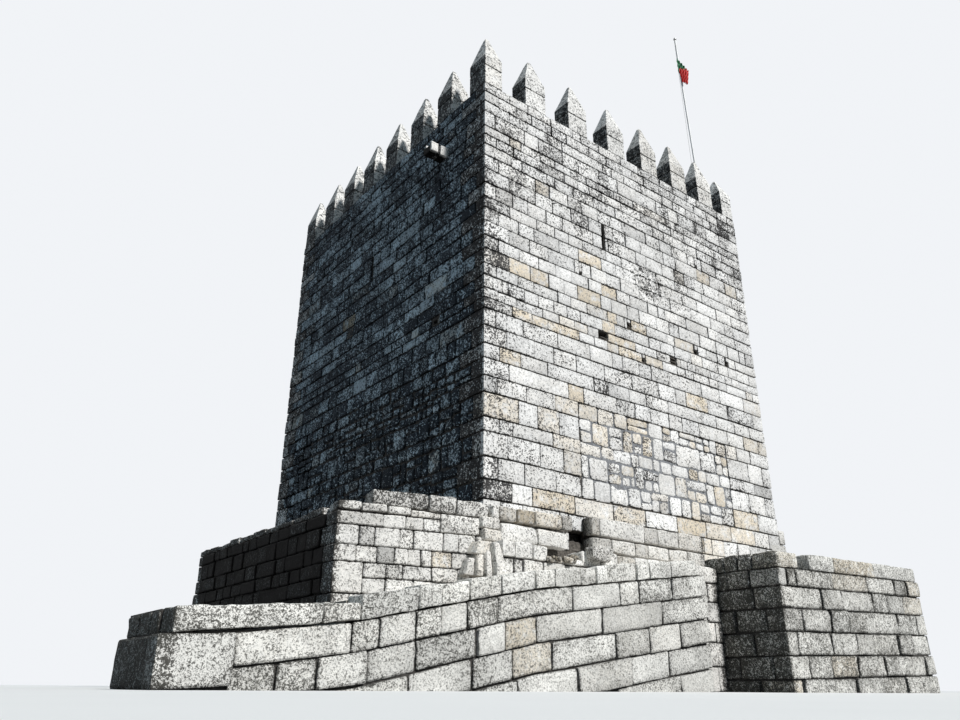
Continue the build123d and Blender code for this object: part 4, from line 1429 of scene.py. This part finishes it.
def slab(out, low, high, rng, front=-5.56, warm=0.12, lift=0.0, tone=0.52):
    """A stone set on edge: the height and the two ends of its foot, then of its head."""
    corners = []
    for z, x0, x1 in (low, high):
        corners += [(x0, front, z), (x1, front, z), (x1, front + 0.30, z), (x0, front + 0.30, z)]
    hexa(out, corners, rng, 0.04, 0.09, 0.016, tone, warm, lift)


def loose_stones():
    """Leaning and fallen stones between the kerb, the terrace and the footing."""
    rng = random.Random(67)
    out = Masonry(foot_growth)
    slab(out, (1.90, -5.66, -5.46), (2.22, -5.56, -5.42), rng, front=-5.33, tone=0.44)
    slab(out, (1.90, -5.45, -5.27), (2.31, -5.40, -5.27), rng, front=-5.39, warm=0.25)
    slab(out, (1.90, -5.26, -5.11), (2.36, -5.26, -5.17), rng, front=-5.46, tone=0.46)
    slab(out, (2.30, -5.50, -5.18), (2.54, -5.40, -5.08), rng, front=-5.42, lift=-0.10, warm=0.3)
    slab(out, (1.90, -5.10, -4.84), (2.50, -5.17, -5.03), rng)
    slab(out, (2.58, -5.20, -4.81), (2.79, -5.22, -4.80), rng, front=-5.32, warm=0.25)
    slab(out, (2.80, -5.26, -4.86), (3.02, -5.24, -4.82), rng, front=-5.31, lift=0.08)
    rock(out, (-2.55, -5.64, 2.54), (0.64, 0.26, 0.26), rng, 0.03, 0.05, 0.26, 0.1, 0.3, edge=0.04)
    for _ in range(14):
        x, size = rng.uniform(-3.95, -2.95), rng.uniform(0.10, 0.24)
        z = 2.28 + 0.10 * (x + 3.9) + rng.uniform(0, 0.08)
        y = rng.uniform(-5.62, -5.40)
        turn, lean = rng.uniform(-0.9, 0.9), rng.uniform(-0.3, 0.3)
        tone, warm = rng.gauss(0.02, 0.10), rng.uniform(0.3, 0.9)
        rock(out, (x, y, z), (size, size * 0.7, size * 0.5), rng, turn, lean, tone, warm, 0.30, 0.02, 0.03)
    out.build("loose_foot_stones", FOOT, "footing_stone")


terrace()
terrace_top_stones()
footings()
side_footing()
kerb()
platform()
loose_stones()


# Water spout

def water_spout():
    """A trough's floor and its two cheeks, each in two lengths with a dark core in the crack between them
    that paints the crack's shadow, and painted shade on all but their sunny side.
    """
    rng = random.Random(71)
    out = Masonry()
    y0, y1, cheek = -3.445, -3.095, 0.105
    crack = (-5.285, -5.205)
    floor, rim = (WALK - 0.28, WALK - 0.075), (WALK - 0.085, WALK)
    for y, z in (((y0, y1), floor), ((y0, y0 + cheek), rim), ((y1 - cheek, y1), rim)):
        # Painted shade on all faces but the sunny side
        for x in ((-5.49, crack[0]), (crack[1], -4.75)):
            hexa(out, box_corners(x, y, z), rng, 0.018, 0.07, 0.010, 0.66, 0.05, -0.95, 1.3)
        # The dark core: a painted shadow in the crack
        x = (crack[0] - 0.02, crack[1] + 0.02)
        core = box_corners(x, (y[0] + 0.03, y[1] - 0.03), (z[0], z[1] - 0.02))
        hexa(out, core, rng, 0.01, 0.07, 0.006, -0.2, 0.0, 0.5)
    out.build("water_spout_stone", DRESSED, "dressed_stone", ("water_spout",))


water_spout()


# Doorway in the rear wall

def doorway():
    """Jambs, an arch of eleven stones and the threshold."""
    rng = random.Random(73)
    out = Masonry()
    inner, outer = DOOR_WIDTH / 2, DOOR_OUTER
    front, rear = HALF + 0.006, HALF - DOOR_DEPTH
    jambs = [DOOR_FLOOR, DOOR_FLOOR + 0.44, DOOR_FLOOR + 0.80, DOOR_FLOOR + 1.22, DOOR_SPRING]
    for x in ((-outer, -inner), (inner, outer)):
        for z0, z1 in spans(jambs):
            hexa(out, box_corners(x, (rear, front), (z0 + 0.006, z1 - 0.006)), rng, 0.014, 0.14, 0.005,
                 rng.gauss(0.55, 0.08), 0.05)
    count = 11
    for k in range(count):
        t0 = math.pi * k / count + 0.010
        t1 = math.pi * (k + 1) / count - 0.010
        corners = []
        for r in (inner, outer):
            for t, y in ((t0, rear), (t0, front), (t1, front), (t1, rear)):
                corners.append((r * math.cos(t), y, DOOR_SPRING + r * math.sin(t)))
        hexa(out, corners, rng, 0.014, 0.12, 0.005, rng.gauss(0.55, 0.08), 0.05)
    out.build("doorway_voussoirs", DRESSED, "dressed_stone", ("doorway_arch",))
    out = Masonry()
    threshold = box_corners((-outer, outer), (rear, HALF + 0.12), (DOOR_SILL + 0.006, DOOR_FLOOR - 0.002))
    hexa(out, threshold, rng, 0.02, 0.14, 0.006, 0.55, 0.05)
    out.build("doorway_threshold", DRESSED, "dressed_stone", ("door_sill",))


doorway()


# Roof deck and floors

def flags():
    """Flagstones of random sizes, in rows from front to rear."""
    rng = random.Random(79)
    out = Masonry()
    low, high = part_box("roof_slab")
    gap = 0.005
    x = low[0]
    while x < high[0] - 0.1:
        wide = rng.uniform(0.55, 0.85)
        wide = high[0] - x if high[0] - x - wide < 0.4 else wide
        y = low[1]
        while y < high[1] - 0.1:
            length = rng.uniform(0.6, 1.2)
            length = high[1] - y if high[1] - y - length < 0.45 else length
            corners = box_corners((x + gap, x + wide - gap), (y + gap, y + length - gap),
                                  (low[2] + gap, high[2] - rng.uniform(0, 0.006)))
            hexa(out, corners, rng, 0.012, 0.3, 0.003, rng.gauss(0.5, 0.1), 0.0)
            y += length
        x += wide
    out.build("roof_flags", DRESSED, "paving", ("roof_slab",))


def timber_material():
    n = Nodes("old_timber")
    grain = n.noise(n.position(in_Scale=(22, 1.4, 22)), 1.0, 6, 0.65, 0.6)
    wide = n.noise(n.position(), 3.0, 3)
    colour = n.mix(n.step(grain, 0.3, 0.7), (0.13, 0.095, 0.065), (0.33, 0.26, 0.19))
    colour = n.mix(n.math("MULTIPLY", wide, 0.4), colour, (0.22, 0.20, 0.18))
    return n.done(colour, n.bump(grain, 0.006), 0.8)


TIMBER = timber_material()


def boards(node, name):
    """Thirty boards side by side, each in two lengths."""
    rng = random.Random(83)
    out = Masonry()
    low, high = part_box(node)
    count = 30
    width = (high[0] - low[0]) / count
    for k in range(count):
        x = low[0] + k * width
        cut = low[1] + (high[1] - low[1]) * rng.uniform(0.25, 0.75)
        for y0, y1 in ((low[1], cut), (cut, high[1])):
            corners = box_corners((x + 0.003, x + width - 0.003), (y0 + 0.002, y1 - 0.002),
                                  (low[2] + 0.001, high[2] - rng.uniform(0, 0.004)))
            hexa(out, corners, rng, 0.004, 0.8, 0.001)
    out.build(name, TIMBER, "timber", (node,))


flags()
boards("door_floor_boards", "door_floor_planks")
boards("slit_floor_boards", "slit_floor_planks")


# Pole, rope and flag

def paint_material():
    n = Nodes("white_paint")
    streaks = n.noise(n.position(in_Scale=(14, 14, 3)), 1.0)
    colour = n.mix(n.step(streaks, 0.45, 0.75), (0.78, 0.79, 0.80), (0.60, 0.60, 0.58))
    return n.done(colour, n.bump(streaks, 0.001), 0.4)


def steel_material():
    n = Nodes("dull_steel")
    wear = n.noise(n.position(), 60)
    colour = n.mix(n.step(wear, 0.4, 0.7), (0.42, 0.43, 0.44), (0.30, 0.29, 0.27))
    n.feed(n.shader, "Metallic", 1.0)
    return n.done(colour, n.bump(wear, 0.0006), 0.45)


def rope_material():
    n = Nodes("pale_rope")
    strands = n.add("ShaderNodeTexWave", in_Scale=60.0)
    n.feed(strands, "Vector", n.position(in_Rotation=(0.6, 0.0, 0.0)))
    colour = n.mix(strands.outputs["Fac"], (0.45, 0.45, 0.44), (0.68, 0.67, 0.64))
    return n.done(colour, n.bump(strands.outputs["Fac"], 0.001), 0.85)


def cloth_material():
    """Two plain colours, green at the hoist and red at the free end, with a fine weave."""
    n = Nodes("flag_cloth")
    where = n.position()
    weave = n.noise(where, 350, 2)
    fade = n.noise(where, 9, 3)
    green = n.mix(fade, (0.02, 0.14, 0.06), (0.04, 0.20, 0.09))
    red = n.mix(fade, (0.55, 0.03, 0.03), (0.68, 0.06, 0.05))
    colour = n.mix(n.step(n.stone_values()[0], 0.38, 0.42), green, red)
    n.feed(n.shader, "Sheen Weight", 0.2)
    return n.done(colour, n.bump(weave, 0.001), 0.85)


def paint(material, *nodes):
    """Gives nodes that keep their own shape a material."""
    for node in nodes:
        NODES[node].data.materials.clear()
        NODES[node].data.materials.append(material)


# The cloth's own length and height, its pleats, and the shares of its length at which it bends
PLEATS = 9
BENDS = [0, 0.40, 0.56, 1.0]


def flag():
    """The limp cloth: green hangs from the hoist to the right, red has folded back in front of the pole."""
    solid = NODES["flag"]
    points = np.array([solid.matrix_world @ v.co for v in solid.data.vertices])
    foot = points[points[:, 2] < points[:, 2].min() + 0.06].mean(0)
    head = points[points[:, 2] > points[:, 2].max() - 0.06].mean(0)
    up = (head - foot) / np.linalg.norm(head - foot)
    side = np.array([0.90, -0.436, 0.0])
    front = np.array([-0.436, -0.90, 0.0])
    start = foot - np.array([up[2], 0.0, -up[0]]) * 0.137
    columns, rows = 200, 30
    U, V = np.meshgrid(np.linspace(0, 1, columns + 1), np.linspace(0, 1, rows + 1))
    u, v = U.ravel(), V.ravel()
    across = np.interp(u, BENDS, [-0.105, 0.175, 0.28, -0.115]) * (1 - 0.42 * v * ramp(u, 0.0, 0.4))
    drop = np.interp(u, BENDS, [0.0, 0.36, 0.53, 0.49])
    height = 1.06 - drop - v * (0.66 - 0.06 * ramp(u, 0.3, 0.6))
    folded = ramp(u, 0.50, 0.66)
    deep = 0.66 * (0.012 + 0.020 * ramp(u, 0.02, 0.2) + 0.008 * folded) * ramp(u, 0.0, 0.05)
    ahead = 0.055 + 0.065 * folded + deep * np.sin(2 * np.pi * PLEATS * u + 1.5 * v)
    ahead += 0.012 * np.sin(2 * np.pi * 3.2 * v + 5 * u)
    place = start + side * across[:, None] + front * ahead[:, None] + up * height[:, None]
    marks = np.ones((len(u), 4))
    marks[:, 0] = u
    mesh = marked_mesh("flag_cloth", place, sheet_quads(columns, rows), marks)
    piece = add_piece("flag_cloth", mesh, cloth_material(), ("flag",))


paint(paint_material(), "flagpole")
paint(steel_material(), "pole_head", "halyard_eye")
paint(rope_material(), "halyard")
paint(RUBBLE, "foundation", "terrace_fill", "kerb_backing", "platform_fill")
paint(TIMBER, "floor_beams", "roof_beams")
paint(INSIDE, "pole_base")
flag()


# Stage, light and camera

FLOOR_REACH = 400.0
SUN_FROM = (0.06, -0.77, 0.63)
# The photograph's camera as solved from the keep: focal length and picture width in pixels, angles in radians
FOCAL_PIXELS, PHOTO_PIXELS = 772.42, 960
YAW, PITCH, ROLL = -0.65161, 0.40150, 0.00666
CAMERA_AT = (-14.0528, -16.7325, 0.05)
SENSOR = 36.0


def add_floor():
    """A wide floor, pale to the camera and dark to the light that it would throw back."""
    r = FLOOR_REACH
    mesh = bpy.data.meshes.new("floor")
    mesh.from_pydata([(-r, -r, 0), (r, -r, 0), (r, r, 0), (-r, r, 0)], [], [(0, 1, 2, 3)])
    n = Nodes("pale_floor")
    pale = n.mix(n.noise(n.position(), 0.7, 3), (0.78, 0.78, 0.77), (0.82, 0.82, 0.81))
    seen = n.add("ShaderNodeLightPath").outputs["Is Camera Ray"]
    mesh.materials.append(n.done(n.mix(seen, (0.13, 0.13, 0.13), pale), None, 0.95))
    floor = add_object("floor", mesh)


def add_world():
    """A pale backdrop for what is seen or mirrored, and bluer, weaker light for the rest."""
    world = bpy.data.worlds.new("studio")
    bpy.context.scene.world = world
    world.use_nodes = True
    tree = world.node_tree
    ambient, backdrop = tree.nodes["Background"], tree.nodes.new("ShaderNodeBackground")
    for node, colour, strength in ((ambient, (0.55, 0.80, 1.0, 1), 0.25),
                                   (backdrop, (0.88, 0.90, 0.93, 1), 1.0)):
        node.inputs["Color"].default_value = colour
        node.inputs["Strength"].default_value = strength
    rays = tree.nodes.new("ShaderNodeLightPath")
    seen = rays.outputs["Is Camera Ray"]
    for kind in ("Is Glossy Ray", "Is Transmission Ray"):
        either = tree.nodes.new("ShaderNodeMath")
        either.operation = "MAXIMUM"
        tree.links.new(seen, either.inputs[0])
        tree.links.new(rays.outputs[kind], either.inputs[1])
        seen = either.outputs[0]
    choose = tree.nodes.new("ShaderNodeMixShader")
    for key, output in enumerate((seen, ambient.outputs[0], backdrop.outputs[0])):
        tree.links.new(output, choose.inputs[key])
    tree.links.new(choose.outputs[0], tree.nodes["World Output"].inputs["Surface"])


def add_sun():
    sun = bpy.data.lights.new("key", "SUN")
    sun.energy = 3.78
    sun.angle = math.radians(5)
    sun.color = (1.0, 0.983, 0.960)
    key = add_object("key", sun)
    key.rotation_mode = "QUATERNION"
    key.rotation_quaternion = Vector(SUN_FROM).to_track_quat("Z", "Y")


def add_camera():
    ahead = Vector((-math.sin(YAW) * math.cos(PITCH), math.cos(YAW) * math.cos(PITCH), math.sin(PITCH)))
    level = Vector((math.cos(YAW), math.sin(YAW), 0))
    over = level.cross(ahead)
    right = math.cos(ROLL) * level + math.sin(ROLL) * over
    up = -math.sin(ROLL) * level + math.cos(ROLL) * over
    lens = bpy.data.cameras.new("camera")
    lens.sensor_width = SENSOR
    lens.lens = FOCAL_PIXELS / PHOTO_PIXELS * SENSOR
    lens.clip_end = 2000
    camera = add_object("camera", lens)
    turn = Matrix((right, up, -ahead)).transposed()
    camera.matrix_world = Matrix.Translation(CAMERA_AT) @ turn.to_4x4()
    bpy.context.scene.camera = camera
    bpy.context.scene.view_settings.view_transform = "Standard"


add_floor()
add_world()
add_sun()
add_camera()
